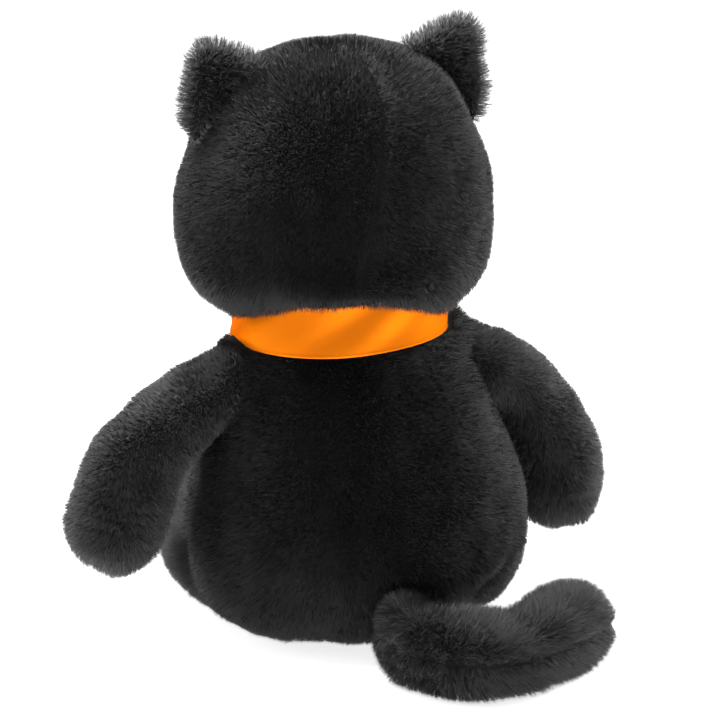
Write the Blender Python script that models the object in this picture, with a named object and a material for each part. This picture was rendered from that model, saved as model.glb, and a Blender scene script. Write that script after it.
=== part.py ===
"""Seated plush cat with a satin neck ribbon, as the separate pieces it is sewn from.

Metres, +Z up. The cat faces -Y and its left side is +X. The origin is the centre of the
flat seat, on the surface the cat sits on. Fabric panels are thin shells cut from one
surface along their seams, and the stuffing inside each shell is a solid of its own. The
head, arms, legs and tail are sewn on softly, so each hangs from an empty at its seam.
"""

import math

import bmesh
import bpy
from mathutils import Matrix, Vector

# Driving dimensions
FABRIC = 0.003  # backing cloth and the dense foot of the pile
SEAM_GAP = 0.0005  # between neighbouring panels
FILL_GAP = 0.0005  # between a shell and its stuffing
JOINT_GAP = 0.0010  # between a limb's round end and its socket
CONTACT_GAP = 0.0004  # between pieces sewn face to face

# Torso: half-widths up its height, and depth as a share of width
TORSO_PROFILE = (
    (0.0000, 0.0400),
    (0.0030, 0.0570),
    (0.0110, 0.0700),
    (0.0230, 0.0790),
    (0.0400, 0.0850),
    (0.0600, 0.0838),
    (0.0850, 0.0772),
    (0.1080, 0.0692),
    (0.1300, 0.0590),
    (0.1440, 0.0500),
    (0.1600, 0.0425),
    (0.1660, 0.0330),
)
TORSO_DEPTH_RATIO = 0.90
TORSO_FILL_TOP = 0.1620
TORSO_LEAN = 0.007  # how far forward of the seat's centre the neck is
SIDE_SEAM_Y = -0.010
BASE_SEAM_Z = 0.011
TORSO_SEGMENTS = 28
CLOSING_STITCHES = 10
CLOSING_BOTTOM = 0.060
CLOSING_STEP = 0.0060
CLOSING_HALF_WIDTH = 0.0028

# Head: an egg with full cheeks; powers above 2 square its sides a little
HEAD_CENTRE_Y = -0.013
HEAD_BOTTOM = 0.1600
HEAD_WIDEST_Z = 0.2060
HEAD_TOP = 0.2815
HEAD_HALF_WIDTH = 0.0770
HEAD_HALF_DEPTH = 0.0630
HEAD_POWER_LOW = 3.0
HEAD_POWER_HIGH = 2.3
NECK_RECESS_RADIUS = 0.0530
NECK_RECESS_TOP = 0.1695
HEAD_NECK_HOLE = 0.034
HEAD_SEAM_Y = -0.009
HEAD_SEGMENTS = 28
HEAD_LEVELS = 11

# Ears: rounded triangles standing out of the head's upper corners
EAR_BASE_CENTRE = Vector((0.0485, -0.011, 0.2555))
EAR_BASE = 0.066
EAR_HEIGHT = 0.037
EAR_SUNK = 0.018
EAR_TIP_ROUND = 0.22
EAR_BOW = 5.0
EAR_LEAN = math.radians(31)
EAR_BACK_THICK = 0.0055
EAR_FRONT_THICK = 0.0035
EAR_POINTS = 14

# Face
EYE_X = 0.027
EYE_Z = 0.2200
EYE_RADIUS = 0.0068
EYE_DOME = 0.0042
EYE_SEAT = 0.0009
EYE_POST_RADIUS = 0.0017
EYE_POST_LENGTH = 0.0085
WASHER_RADIUS = 0.0050
WASHER_THICK = 0.0012
WASHER_DROP = 0.0014  # behind the inside of the face panel
HOLE_OUT = 0.006
HOLE_IN = -0.010
MUZZLE_CENTRE = Vector((0.0, -0.0700, 0.1940))
MUZZLE_SIZE = Vector((0.0240, 0.0160, 0.0165))
NOSE_CENTRE = Vector((0.0, -0.0855, 0.2015))
NOSE_SIZE = Vector((0.0062, 0.0026, 0.0042))
THREAD_RADIUS = 0.0006
THREAD_LIFT = 0.0005
MOUTH_Z = 0.1906
MOUTH_HALF_WIDTH = 0.0100
MOUTH_DROP = 0.0040
MOUTH_CURL = 0.85
MOUTH_STEPS = 5
LIP_TOP = 0.1962
LIP_BOTTOM = 0.1920

# Arms, as a line in an upright plane through the shoulder: outward, height
SHOULDER = Vector((0.0645, 0.0000, 0.1215))
ARM_LINE = ((0.000, 0.000), (0.019, -0.007), (0.036, -0.023), (0.0468, -0.044), (0.0510, -0.0655))
ARM_TURN = math.radians(5)
ARM_RADII = (0.0180, 0.0196, 0.0210, 0.0218, 0.0216)

# Legs, in the horizontal plane through the hip: inward, forward
HIP = Vector((0.0555, -0.0240, 0.0260))
LEG_LINE = ((0.000, 0.000), (0.007, -0.030), (0.0130, -0.060), (0.0165, -0.090), (0.0180, -0.104))
LEG_RADII = (0.0235, 0.0238, 0.0225, 0.0235, 0.0250)
HIP_RANGE = (-4, 26)
HIP_REACH = 0.110
HIP_FLOOR_SHARE = 0.55
BELOW_FLOOR = 0.005
SOLE_RADIUS = 0.0170
SOLE_INSET = 0.80  # share of the foot's radius at which the sole pad starts
SOLE_DOME = ((0.0, 0.0), (0.0, 1.0), (0.0040, 0.94), (0.0068, 0.60), (0.0076, 0.0))

# Tail, on the surface behind the cat: across, backward
TAIL_RANGE = (-15, 18)
TAIL_ROOT = Vector((0.0000, 0.0720, 0.0195))
TAIL_LINE = (
    (0.0000, 0.000),
    (0.0070, 0.017),
    (0.0085, 0.033),
    (0.0000, 0.046),
    (-0.0180, 0.052),
    (-0.0400, 0.049),
    (-0.0590, 0.040),
    (-0.0735, 0.030),
)
TAIL_RADII = (0.0150, 0.0165, 0.0180, 0.0185, 0.0188, 0.0188, 0.0186, 0.0178)

LIMB_SEGMENTS = 16
CAP_STEPS = 3
ARM_STEPS = 5
LEG_STEPS = 4
TAIL_STEPS = 9
SWEEP_MARGIN = 2  # degrees that a socket allows past each end of its joint's range
SOCKET_LIP = math.radians(76)  # from the pole of a shoulder socket to where its cone starts
SOCKET_CONE = [(0.0095, 0.0330), (0.0480, 0.0420)]  # outward, radius
STUFFING_HOLE = math.radians(36)  # from the pole of a limb's round end to the hole's edge
UPRIGHT = Vector((0, 0, 1))
FORE_AND_AFT = Vector((0, 1, 0))

# Ribbon
RIBBON_WIDTH = 0.0235
RIBBON_THICK = 0.0008
RIBBON_BOTTOM = 0.1445
RIBBON_LOW_RADIUS = 0.0512
RIBBON_TOP_RADIUS = 0.0468
NECK_Y = -0.0060
RIBBON_SEGMENTS = 40
BOW_Y = -0.0640
BOW_Z = 0.1555
BOW_REACH = 0.046
BOW_DEPTH = 0.0085
KNOT_SIZE = Vector((0.0150, 0.0100, 0.0160))
KNOT_GAP = 0.0008
LOOP_STEPS = 16
LOOP_TURN = 0.94  # share of a full turn from one end of the loop to the other
LOOP_PARTING = 0.0009  # keeps the loop's two ends apart at the knot
LOOP_SPREAD = 0.020  # from the knot, where the pinched ribbon is back to its full width
PINCHED_HALF = 0.0062
BOW_TAIL_DROP = 0.062
BOW_TAIL_STEPS = 8
BOW_TAIL_SPREAD = (0.0040, 0.0160)  # the tail's middle from the cat's, at its top, and how far it spreads
BOW_TAIL_PINCH = 0.0034
BOW_TAIL_WIDTH = 0.62  # share of the ribbon's width that faces forward
BOW_TAIL_SLANT = 0.006
BOW_TAIL_PARTING = 0.0008  # half the gap between the two tails
CHEST_CLEARANCE = 0.0020
KNOT_STAND_OFF = 0.0030  # how much further the tails stand off the chest at the knot

# Pellet bag in the seat
PELLET_BAG_CENTRE = Vector((0.0, 0.020, 0.0160))
PELLET_BAG_SIZE = Vector((0.0240, 0.0220, 0.0095))

BLACK_PLUSH = (0.012, 0.012, 0.014, 1.0)
ORANGE_SATIN = (0.80, 0.17, 0.006, 1.0)
WHITE_FILL = (0.82, 0.82, 0.80, 1.0)
LINEN = (0.62, 0.60, 0.55, 1.0)
BLACK_GLOSS = (0.010, 0.010, 0.010, 1.0)
AMBER = (0.75, 0.36, 0.02, 1.0)
CHARCOAL_SATIN = (0.030, 0.026, 0.028, 1.0)
CLEAR_WHITE = (0.75, 0.75, 0.74, 1.0)
THREAD_BLACK = (0.015, 0.015, 0.016, 1.0)


def clear_scene():
    for found in list(bpy.data.objects):
        bpy.data.objects.remove(found, do_unlink=True)


def material(name, colour, roughness, metallic=0.0):
    made = bpy.data.materials.new(name)
    made.use_nodes = True
    shader = made.node_tree.nodes["Principled BSDF"]
    shader.inputs["Base Color"].default_value = colour
    shader.inputs["Roughness"].default_value = roughness
    shader.inputs["Metallic"].default_value = metallic
    made.diffuse_color = colour
    return made


def pivot(name, place):
    """An empty on a joint's axis."""
    empty = bpy.data.objects.new(name, None)
    empty.location = place
    empty.empty_display_size = 0.02
    bpy.context.collection.objects.link(empty)
    return empty


def place_mesh(name, bm, finish, parent=None):
    """A part from geometry in world coordinates, with its origin at its parent's place."""
    bmesh.ops.remove_doubles(bm, verts=bm.verts, dist=1e-6)
    bmesh.ops.recalc_face_normals(bm, faces=bm.faces)
    if bm.calc_volume(signed=True) < 0:
        bmesh.ops.reverse_faces(bm, faces=bm.faces)
    if parent is not None:
        bmesh.ops.translate(bm, verts=bm.verts, vec=-parent.location)
    mesh = bpy.data.meshes.new(name)
    bm.to_mesh(mesh)
    bm.free()
    mesh.shade_smooth()
    mesh.set_sharp_from_angle(angle=math.radians(50))
    made = bpy.data.objects.new(name, mesh)
    bpy.context.collection.objects.link(made)
    if finish is not None:
        made.data.materials.append(finish)
    made.parent = parent
    return made


def cutter(made):
    """Marks an object as a tool that shapes others and is no part itself."""
    made.hide_render = True
    made.display_type = "WIRE"
    return made


def cut(target, tool, operation):
    modifier = target.modifiers.new(operation.lower() + "_" + tool.name, "BOOLEAN")
    modifier.operation = operation
    modifier.solver = "EXACT"
    modifier.object = tool


def half_space(name, point, direction):
    """A block that fills everything beyond a plane, for cutting a shell along a seam."""
    size = 0.8
    bm = bmesh.new()
    bmesh.ops.create_cube(bm, size=size)
    turn = Vector((0, 0, 1)).rotation_difference(Vector(direction).normalized()).to_matrix().to_4x4()
    shift = Matrix.Translation(Vector(point)) @ turn @ Matrix.Translation((0, 0, size / 2))
    bmesh.ops.transform(bm, matrix=shift, verts=bm.verts)
    return cutter(place_mesh(name, bm, None))


def joined_rings(rings):
    """One closed surface through rings of points; a single point closes an end."""
    bm = bmesh.new()
    rows = [[bm.verts.new(point) for point in ring] for ring in rings]
    for lower, upper in zip(rows, rows[1:]):
        count = max(len(lower), len(upper))
        for i in range(count):
            j = (i + 1) % count
            below = [lower[i % len(lower)], lower[j % len(lower)]]
            above = [upper[j % len(upper)], upper[i % len(upper)]]
            bm.faces.new(list(dict.fromkeys(below + above)))
    for end in (rows[0], rows[-1]):
        if len(end) > 1:
            bm.faces.new(end)
    return bm


def smooth_through(points, share):
    """A value on a Catmull-Rom curve through the points, share running from 0 to 1."""
    spans = len(points) - 1
    place = min(share * spans, spans - 1e-9)
    i = int(place)
    t = place - i
    before, start = points[max(i - 1, 0)], points[i]
    end, after = points[i + 1], points[min(i + 2, spans)]
    values = []
    for a, b, c, d in zip(before, start, end, after):
        square = 2 * a - 5 * b + 4 * c - d
        cube = 3 * b - a - 3 * c + d
        values.append(0.5 * (2 * b + (c - a) * t + square * t ** 2 + cube * t ** 3))
    return tuple(values)


def torso_half_width(height):
    """The torso's half-width at a height, from its profile."""
    for (z0, w0), (z1, w1) in zip(TORSO_PROFILE, TORSO_PROFILE[1:]):
        if height <= z1:
            return w0 + (w1 - w0) * (height - z0) / (z1 - z0)
    return TORSO_PROFILE[-1][1]


def torso_middle(height):
    """Where the torso's middle is, front to back: it leans forward towards the neck."""
    return -TORSO_LEAN * (height / TORSO_PROFILE[-1][0]) ** 2


def ring_at(half_width, half_depth, centre_y, height, segments):
    turn = 2 * math.pi / segments
    return [
        Vector((half_width * math.cos(i * turn), centre_y + half_depth * math.sin(i * turn), height))
        for i in range(segments)
    ]


def torso_rings(inset, top):
    """Rings up the torso, inset from its outer surface, up to a height."""
    rings = []
    for height, width in TORSO_PROFILE:
        if height > top:
            break
        half = width - inset
        deep = half * TORSO_DEPTH_RATIO
        level = max(height, inset)
        rings.append(ring_at(half, deep, torso_middle(height), level, TORSO_SEGMENTS))
    return rings


def torso_shell():
    outer = torso_rings(0.0, 1.0)
    inner = torso_rings(FABRIC, 1.0)
    clear = [ring for ring in inner if ring[0].z > FABRIC + 0.0002 or ring is inner[0]]
    middle = [Vector((0, 0, 0))]
    return joined_rings([middle] + outer + clear[::-1] + [[Vector((0, 0, FABRIC))]])


def head_half_width(height, inset=0.0):
    """The head's half-width at a height: fuller below the middle, a taller dome above."""
    if height < HEAD_WIDEST_Z:
        power = HEAD_POWER_LOW
        share = (HEAD_WIDEST_Z - height) / (HEAD_WIDEST_Z - HEAD_BOTTOM - inset)
    else:
        power = HEAD_POWER_HIGH
        share = (height - HEAD_WIDEST_Z) / (HEAD_TOP - inset - HEAD_WIDEST_Z)
    share = min(max(share, 0.0), 1.0)
    return (HEAD_HALF_WIDTH - inset) * (1 - share ** power) ** (1 / power)


def head_ring(height, inset):
    half = head_half_width(height, inset)
    deep = half * (HEAD_HALF_DEPTH - inset) / (HEAD_HALF_WIDTH - inset)
    return ring_at(half, deep, HEAD_CENTRE_Y, height, HEAD_SEGMENTS)


def head_rings(inset):
    """Rings from the bottom of the head to just under its crown."""
    low = HEAD_BOTTOM + inset
    high = HEAD_TOP - inset
    middle = (low + high) / 2
    reach = (high - low) / 2
    heights = [middle - reach * math.cos(math.pi * i / HEAD_LEVELS) for i in range(1, HEAD_LEVELS)]
    return [head_ring(height, inset) for height in heights]


def head_solid(inset):
    rings = head_rings(inset)
    low = [Vector((0, HEAD_CENTRE_Y, HEAD_BOTTOM + inset))]
    high = [Vector((0, HEAD_CENTRE_Y, HEAD_TOP - inset))]
    return joined_rings([low] + rings + [high])


def above_neck_hole(rings):
    """The rings that lie outside the neck hole, or over the middle of the head."""
    low = (HEAD_BOTTOM + HEAD_WIDEST_Z) / 2
    return [ring for ring in rings if ring[0].z > low or ring[0].x > HEAD_NECK_HOLE + 0.004]


def head_shell():
    """The whole head cover, open at the neck."""
    outer = above_neck_hole(head_rings(0.0))
    inner = above_neck_hole(head_rings(FABRIC))
    hole = HEAD_NECK_HOLE
    edge_out = ring_at(hole, hole * 0.9, HEAD_CENTRE_Y, HEAD_BOTTOM, HEAD_SEGMENTS)
    edge_in = ring_at(hole, hole * 0.9, HEAD_CENTRE_Y, HEAD_BOTTOM + FABRIC, HEAD_SEGMENTS)
    crown_in = [Vector((0, HEAD_CENTRE_Y, HEAD_TOP - FABRIC))]
    crown_out = [Vector((0, HEAD_CENTRE_Y, HEAD_TOP))]
    return joined_rings([crown_in] + inner[::-1] + [edge_in, edge_out] + outer + [crown_out])


def tube_rings(line, radii, inset, cap_from, steps, level):
    """Rings along a limb: a round end at the seam, the limb's length, and a round far end.

    cap_from is how far round the seam's end starts, as an angle from its pole, and level
    is a direction that the limb never points along.
    """
    points = [Vector(smooth_through([tuple(p) for p in line], i / steps)) for i in range(steps + 1)]
    sizes = [smooth_through([(r,) for r in radii], i / steps)[0] - inset for i in range(steps + 1)]
    ways = []
    for i in range(steps + 1):
        ahead = points[min(i + 1, steps)]
        behind = points[max(i - 1, 0)]
        ways.append((ahead - behind).normalized())
    rings = []

    def ring(centre, way, size):
        side = way.cross(level).normalized()
        other = way.cross(side)
        return [
            centre + size * (math.cos(a) * side + math.sin(a) * other)
            for a in (2 * math.pi * k / LIMB_SEGMENTS for k in range(LIMB_SEGMENTS))
        ]

    for i in range(CAP_STEPS):
        angle = cap_from + (math.pi / 2 - cap_from) * i / CAP_STEPS
        centre = points[0] - ways[0] * sizes[0] * math.cos(angle)
        rings.append(ring(centre, ways[0], sizes[0] * math.sin(angle)))
    for centre, way, size in zip(points, ways, sizes):
        rings.append(ring(centre, way, size))
    for i in range(1, CAP_STEPS):
        angle = math.pi / 2 * i / CAP_STEPS
        centre = points[-1] + ways[-1] * sizes[-1] * math.sin(angle)
        rings.append(ring(centre, ways[-1], sizes[-1] * math.cos(angle)))
    rings.append([points[-1] + ways[-1] * sizes[-1]])
    return rings


def limb_shell(line, radii, steps, level):
    """A sleeve with a stuffing hole at its seam and a closed far end."""
    outer = tube_rings(line, radii, 0.0, STUFFING_HOLE, steps, level)
    inner = tube_rings(line, radii, FABRIC, STUFFING_HOLE, steps, level)
    return joined_rings(outer[::-1] + inner)


def limb_fill(line, radii, steps, level):
    return joined_rings(tube_rings(line, radii, FABRIC + FILL_GAP, STUFFING_HOLE, steps, level))


def arm_line(side):
    return [
        SHOULDER_AT[side] + Vector((side * out * math.cos(ARM_TURN), -out * math.sin(ARM_TURN), up))
        for out, up in ARM_LINE
    ]


def leg_line(side):
    return [HIP_AT[side] + Vector((-side * inward, forward, 0.0)) for inward, forward in LEG_LINE]


def tail_line():
    return [TAIL_ROOT + Vector((across, back, 0.0)) for across, back in TAIL_LINE]


def mirrored(place, side):
    return Vector((side * place.x, place.y, place.z))


SIDES = {"left": 1, "right": -1}
SHOULDER_AT = {side: mirrored(SHOULDER, side) for side in (1, -1)}
HIP_AT = {side: mirrored(HIP, side) for side in (1, -1)}


def shoulder_socket(side):
    """A turned hollow round the shoulder's axis: a cup for the round end, then a cone."""
    centre = SHOULDER_AT[side]
    size = ARM_RADII[0] + JOINT_GAP
    angles = [SOCKET_LIP * i / 4 for i in range(1, 5)]
    profile = [(-size * math.cos(a), size * math.sin(a)) for a in angles]
    profile += SOCKET_CONE
    turn = 2 * math.pi / 24
    rings = [[centre + Vector((-side * size, 0, 0))]]
    for out, radius in profile:
        rings.append(
            [
                centre + Vector((side * out, radius * math.cos(k * turn), radius * math.sin(k * turn)))
                for k in range(24)
            ]
        )
    return joined_rings(rings)


def swept_space(centre, size, ways, to_floor):
    """The round-ended space that a limb swings through, as the hull round its two ends' places."""
    bm = bmesh.new()
    for middle in [centre] + [centre + way for way in ways]:
        end = ball(middle, (size,) * 3)
        for vert in end.verts:
            bm.verts.new(vert.co)
        end.free()
        if to_floor:
            for k in range(LIMB_SEGMENTS):
                turn = 2 * math.pi * k / LIMB_SEGMENTS
                floor = middle + HIP_FLOOR_SHARE * size * Vector((math.cos(turn), math.sin(turn), 0))
                bm.verts.new(Vector((floor.x, floor.y, -BELOW_FLOOR)))
    hull = bmesh.ops.convex_hull(bm, input=bm.verts)
    spare = {v for v in hull["geom_interior"] + hull["geom_unused"] if isinstance(v, bmesh.types.BMVert)}
    bmesh.ops.delete(bm, geom=list(spare), context="VERTS")
    return bm


def swung(way, limits, side=1):
    """A limb's first stretch at both ends of its joint's range."""
    ways = []
    for degrees in (limits[0] - SWEEP_MARGIN, limits[1] + SWEEP_MARGIN):
        ways.append(Matrix.Rotation(math.radians(side * degrees), 3, "Z") @ way)
    return ways


def hip_socket(side):
    """The thigh's space, open to the floor and to the front."""
    inward = LEG_LINE[1][0] / -LEG_LINE[1][1] * HIP_REACH
    ways = swung(Vector((-side * inward, -HIP_REACH, 0.0)), HIP_RANGE, side)
    return swept_space(HIP_AT[side], max(LEG_RADII) + 1.5 * JOINT_GAP, ways, True)


def tail_socket():
    """The tail root's space, open behind."""
    across, back = TAIL_LINE[1]
    ways = swung(Vector((across, back, 0.0)), TAIL_RANGE)
    return swept_space(TAIL_ROOT, TAIL_RADII[0] + 1.5 * JOINT_GAP, ways, False)


def ball(centre, radii, across=16, up=8):
    bm = bmesh.new()
    bmesh.ops.create_uvsphere(bm, u_segments=across, v_segments=up, radius=1.0)
    shape = Matrix.Translation(centre) @ Matrix.Diagonal((*radii, 1.0))
    bmesh.ops.transform(bm, matrix=shape, verts=bm.verts)
    return bm


def build_torso(plush, linen, filling, thread):
    sockets = []
    for word, side in SIDES.items():
        sockets.append(cutter(place_mesh("shoulder_socket_" + word, shoulder_socket(side), None)))
        sockets.append(cutter(place_mesh("hip_socket_" + word, hip_socket(side), None)))
    sockets.append(cutter(place_mesh("tail_socket", tail_socket(), None)))
    half = SEAM_GAP / 2
    seams = {
        "above": half_space("above_base_seam", (0, 0, BASE_SEAM_Z + half), (0, 0, 1)),
        "below": half_space("below_base_seam", (0, 0, BASE_SEAM_Z - half), (0, 0, -1)),
        "behind": half_space("behind_side_seam", (0, SIDE_SEAM_Y + half, 0), (0, 1, 0)),
        "before": half_space("before_side_seam", (0, SIDE_SEAM_Y - half, 0), (0, -1, 0)),
        "left": half_space("left_of_back_seam", (half, 0, 0), (1, 0, 0)),
        "right": half_space("right_of_back_seam", (-half, 0, 0), (-1, 0, 0)),
    }
    panels = {
        "back_panel_left": ("above", "behind", "left"),
        "back_panel_right": ("above", "behind", "right"),
        "belly_panel": ("above", "before"),
        "base_panel": ("below",),
    }
    for name, sides in panels.items():
        panel = place_mesh(name, torso_shell(), plush)
        for socket in sockets:
            cut(panel, socket, "DIFFERENCE")
        for side in sides:
            cut(panel, seams[side], "INTERSECT")
    lining = FABRIC + FILL_GAP
    rings = [ring for ring in torso_rings(lining, TORSO_FILL_TOP) if ring[0].z > lining + 0.0002]
    seat = TORSO_PROFILE[0][1] - lining
    floor = ring_at(seat, seat * TORSO_DEPTH_RATIO, 0.0, lining, TORSO_SEGMENTS)
    fill = place_mesh("torso_stuffing", joined_rings([floor] + rings), filling)
    for socket in sockets:
        cut(fill, socket, "DIFFERENCE")
    grown = PELLET_BAG_SIZE + Vector((FILL_GAP,) * 3)
    pocket = cutter(place_mesh("pellet_bag_pocket", pellet_shape(grown, 0.030), None))
    cut(fill, pocket, "DIFFERENCE")
    place_mesh("pellet_bag", pellet_shape(PELLET_BAG_SIZE, 0.0), linen)
    build_closing_thread(thread)


def pellet_shape(size, reach):
    """The flat bag of pellets; its pocket reaches down to the base panel, so nothing is sealed in."""
    bm = ball(PELLET_BAG_CENTRE, size, 20, 10)
    if reach:
        for vert in bm.verts:
            if vert.co.z < PELLET_BAG_CENTRE.z - 0.0001:
                vert.co.z -= reach
    return bm


def thread_tube(places, level):
    """A round thread along a line of places, closed at both ends."""
    rings = []
    last = len(places) - 1
    for i, place in enumerate(places):
        way = (places[min(i + 1, last)] - places[max(i - 1, 0)]).normalized()
        side = way.cross(level).normalized()
        other = way.cross(side)
        angles = [2 * math.pi * k / 6 for k in range(6)]
        ring = []
        for a in angles:
            ring.append(place + THREAD_RADIUS * (math.cos(a) * side + math.sin(a) * other))
        rings.append(ring)
    return joined_rings(rings)


def build_closing_thread(thread):
    """The hand-sewn zigzag over the back seam, where the torso is closed after stuffing."""
    places = []
    for i in range(CLOSING_STITCHES):
        height = CLOSING_BOTTOM + CLOSING_STEP * i
        surface = torso_middle(height) + TORSO_DEPTH_RATIO * torso_half_width(height)
        back = surface + THREAD_RADIUS + THREAD_LIFT
        across = CLOSING_HALF_WIDTH if i % 2 else -CLOSING_HALF_WIDTH
        places.append(Vector((across, back, height)))
    place_mesh("closing_stitches", thread_tube(places, FORE_AND_AFT), thread)


def neck_recess():
    """The round space under the head that takes the neck and the ribbon's upper edge."""
    rings = []
    for height in (HEAD_BOTTOM - 0.02, NECK_RECESS_TOP):
        rings.append(ring_at(NECK_RECESS_RADIUS, NECK_RECESS_RADIUS, NECK_Y, height, RIBBON_SEGMENTS))
    return joined_rings(rings)


def build_head(neck, plush, filling, thread, gloss, amber, satin, plain):
    half = SEAM_GAP / 2
    seams = {
        "behind": half_space("behind_ear_seam", (0, HEAD_SEAM_Y + half, 0), (0, 1, 0)),
        "before": half_space("before_ear_seam", (0, HEAD_SEAM_Y - half, 0), (0, -1, 0)),
        "left": half_space("left_of_head_seam", (half, 0, 0), (1, 0, 0)),
        "right": half_space("right_of_head_seam", (-half, 0, 0), (-1, 0, 0)),
    }
    panels = {
        "head_panel_left": ("behind", "left"),
        "head_panel_right": ("behind", "right"),
        "face_panel": ("before",),
    }
    recess = cutter(place_mesh("neck_recess", neck_recess(), None))
    made = {}
    for name, sides in panels.items():
        made[name] = place_mesh(name, head_shell(), plush, neck)
        cut(made[name], recess, "DIFFERENCE")
        for side in sides:
            cut(made[name], seams[side], "INTERSECT")
    fill = place_mesh("head_stuffing", head_solid(FABRIC + FILL_GAP), filling, neck)
    cut(fill, recess, "DIFFERENCE")
    clear = cutter(place_mesh("head_clearance", head_solid(-CONTACT_GAP), None))
    for word, side in SIDES.items():
        build_eye(word, side, neck, made["face_panel"], fill, gloss, amber, plain)
        build_ear(word, side, neck, plush, clear)
    muzzle = place_mesh("muzzle_pad", ball(MUZZLE_CENTRE, MUZZLE_SIZE, 20, 12), plush, neck)
    cut(muzzle, clear, "DIFFERENCE")
    nose = place_mesh("nose", ball(NOSE_CENTRE, NOSE_SIZE, 14, 8), satin, neck)
    grown = MUZZLE_SIZE + Vector((CONTACT_GAP,) * 3)
    room = cutter(place_mesh("muzzle_clearance", ball(MUZZLE_CENTRE, grown, 20, 12), None))
    cut(nose, room, "DIFFERENCE")
    build_mouth(neck, thread)


def muzzle_front(x, z, lift):
    """The muzzle's front surface at a place on it, lifted off it by a distance."""
    across = (x / (MUZZLE_SIZE.x + lift)) ** 2
    up = ((z - MUZZLE_CENTRE.z) / (MUZZLE_SIZE.z + lift)) ** 2
    return MUZZLE_CENTRE.y - (MUZZLE_SIZE.y + lift) * math.sqrt(max(1 - across - up, 0.0))


def build_mouth(neck, thread):
    """A stitched line down from the nose, and a curve that spreads to both sides of it."""
    lift = THREAD_RADIUS + THREAD_LIFT

    def on_muzzle(x, z):
        return Vector((x, muzzle_front(x, z, lift), z))

    lip = thread_tube([on_muzzle(0, LIP_TOP), on_muzzle(0, LIP_BOTTOM)], FORE_AND_AFT)
    place_mesh("lip_stitch", lip, thread, neck)
    curve = []
    for i in range(-MOUTH_STEPS, MOUTH_STEPS + 1):
        share = abs(i) / MOUTH_STEPS
        drop = MOUTH_DROP * math.sin(math.pi * share * MOUTH_CURL)
        curve.append(on_muzzle(MOUTH_HALF_WIDTH * i / MOUTH_STEPS, MOUTH_Z - drop))
    place_mesh("mouth_stitches", thread_tube(curve, FORE_AND_AFT), thread, neck)


def face_frame(side):
    """Where an eye sits on the face panel, and the way out of the face there."""
    half = head_half_width(EYE_Z)
    deep = half * HEAD_HALF_DEPTH / HEAD_HALF_WIDTH
    y = HEAD_CENTRE_Y - deep * math.sqrt(1 - (EYE_X / half) ** 2)
    narrowing = (half - head_half_width(EYE_Z + 0.001)) / 0.001
    out = Vector((side * EYE_X / half ** 2, (y - HEAD_CENTRE_Y) / deep ** 2, narrowing / half))
    return Vector((side * EYE_X, y, EYE_Z)), out.normalized()


def turned(place, out, profile, segments):
    """A turned piece: distance along the axis out of the face, and radius."""
    turn = Vector((0, 0, 1)).rotation_difference(out).to_matrix()
    step = 2 * math.pi / segments
    rings = []
    for along, radius in profile:
        if radius < 1e-6:
            rings.append([place + out * along])
            continue
        ring = []
        for k in range(segments):
            spot = Vector((radius * math.cos(k * step), radius * math.sin(k * step), along))
            ring.append(place + turn @ spot)
        rings.append(ring)
    return joined_rings(rings)


def build_eye(word, side, neck, face, fill, gloss, amber, plain):
    """A safety eye: a domed bead on a post through the face, held by a washer inside."""
    place, out = face_frame(side)
    profile = [(-EYE_POST_LENGTH, 0.0), (-EYE_POST_LENGTH, EYE_POST_RADIUS)]
    profile += [(EYE_SEAT, EYE_POST_RADIUS), (EYE_SEAT, EYE_RADIUS)]
    for i in range(1, 5):
        angle = math.pi / 2 * i / 5
        profile.append((EYE_SEAT + EYE_DOME * math.sin(angle), EYE_RADIUS * math.cos(angle)))
    profile.append((EYE_SEAT + EYE_DOME, 0.0))
    eye = place_mesh("eye_" + word, turned(place, out, profile, 16), amber, neck)
    eye.data.materials.append(gloss)
    inner = EYE_POST_RADIUS + CONTACT_GAP
    level = -FABRIC - WASHER_DROP
    washer = [
        (level, inner),
        (level, WASHER_RADIUS),
        (level - WASHER_THICK, WASHER_RADIUS),
        (level - WASHER_THICK, inner),
    ]
    place_mesh("eye_washer_" + word, closed_ring(place, out, washer, 16), plain, neck)
    hole = [(HOLE_IN, 0.0), (HOLE_IN, inner), (HOLE_OUT, inner), (HOLE_OUT, 0.0)]
    hole_cutter = cutter(place_mesh("eye_hole_" + word, turned(place, out, hole, 12), None))
    cut(face, hole_cutter, "DIFFERENCE")
    room = WASHER_RADIUS + FILL_GAP
    deep = -EYE_POST_LENGTH - 2 * CONTACT_GAP
    pocket = [(deep, 0.0), (deep, room), (HOLE_OUT, room), (HOLE_OUT, 0.0)]
    pocket_cutter = cutter(place_mesh("washer_pocket_" + word, turned(place, out, pocket, 12), None))
    cut(fill, pocket_cutter, "DIFFERENCE")


def closed_ring(place, out, profile, segments):
    """A washer: its outline turned round the axis and met with itself."""
    bm = bmesh.new()
    turn = Vector((0, 0, 1)).rotation_difference(out).to_matrix()
    step = 2 * math.pi / segments
    rows = []
    for along, radius in profile:
        row = []
        for k in range(segments):
            spot = Vector((radius * math.cos(k * step), radius * math.sin(k * step), along))
            row.append(bm.verts.new(place + turn @ spot))
        rows.append(row)
    for first, second in zip(rows, rows[1:] + rows[:1]):
        for k in range(segments):
            n = (k + 1) % segments
            bm.faces.new((first[k], first[n], second[n], second[k]))
    return bm


def ear_top(share):
    """How high the ear reaches at a share of its half-width: a triangle with a round tip."""
    slope = math.sqrt(share * share + EAR_TIP_ROUND ** 2) - EAR_TIP_ROUND
    whole = math.sqrt(1 + EAR_TIP_ROUND ** 2) - EAR_TIP_ROUND
    return (EAR_HEIGHT + EAR_SUNK) * (1 - (slope / whole) ** 1.15) - EAR_SUNK


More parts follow.
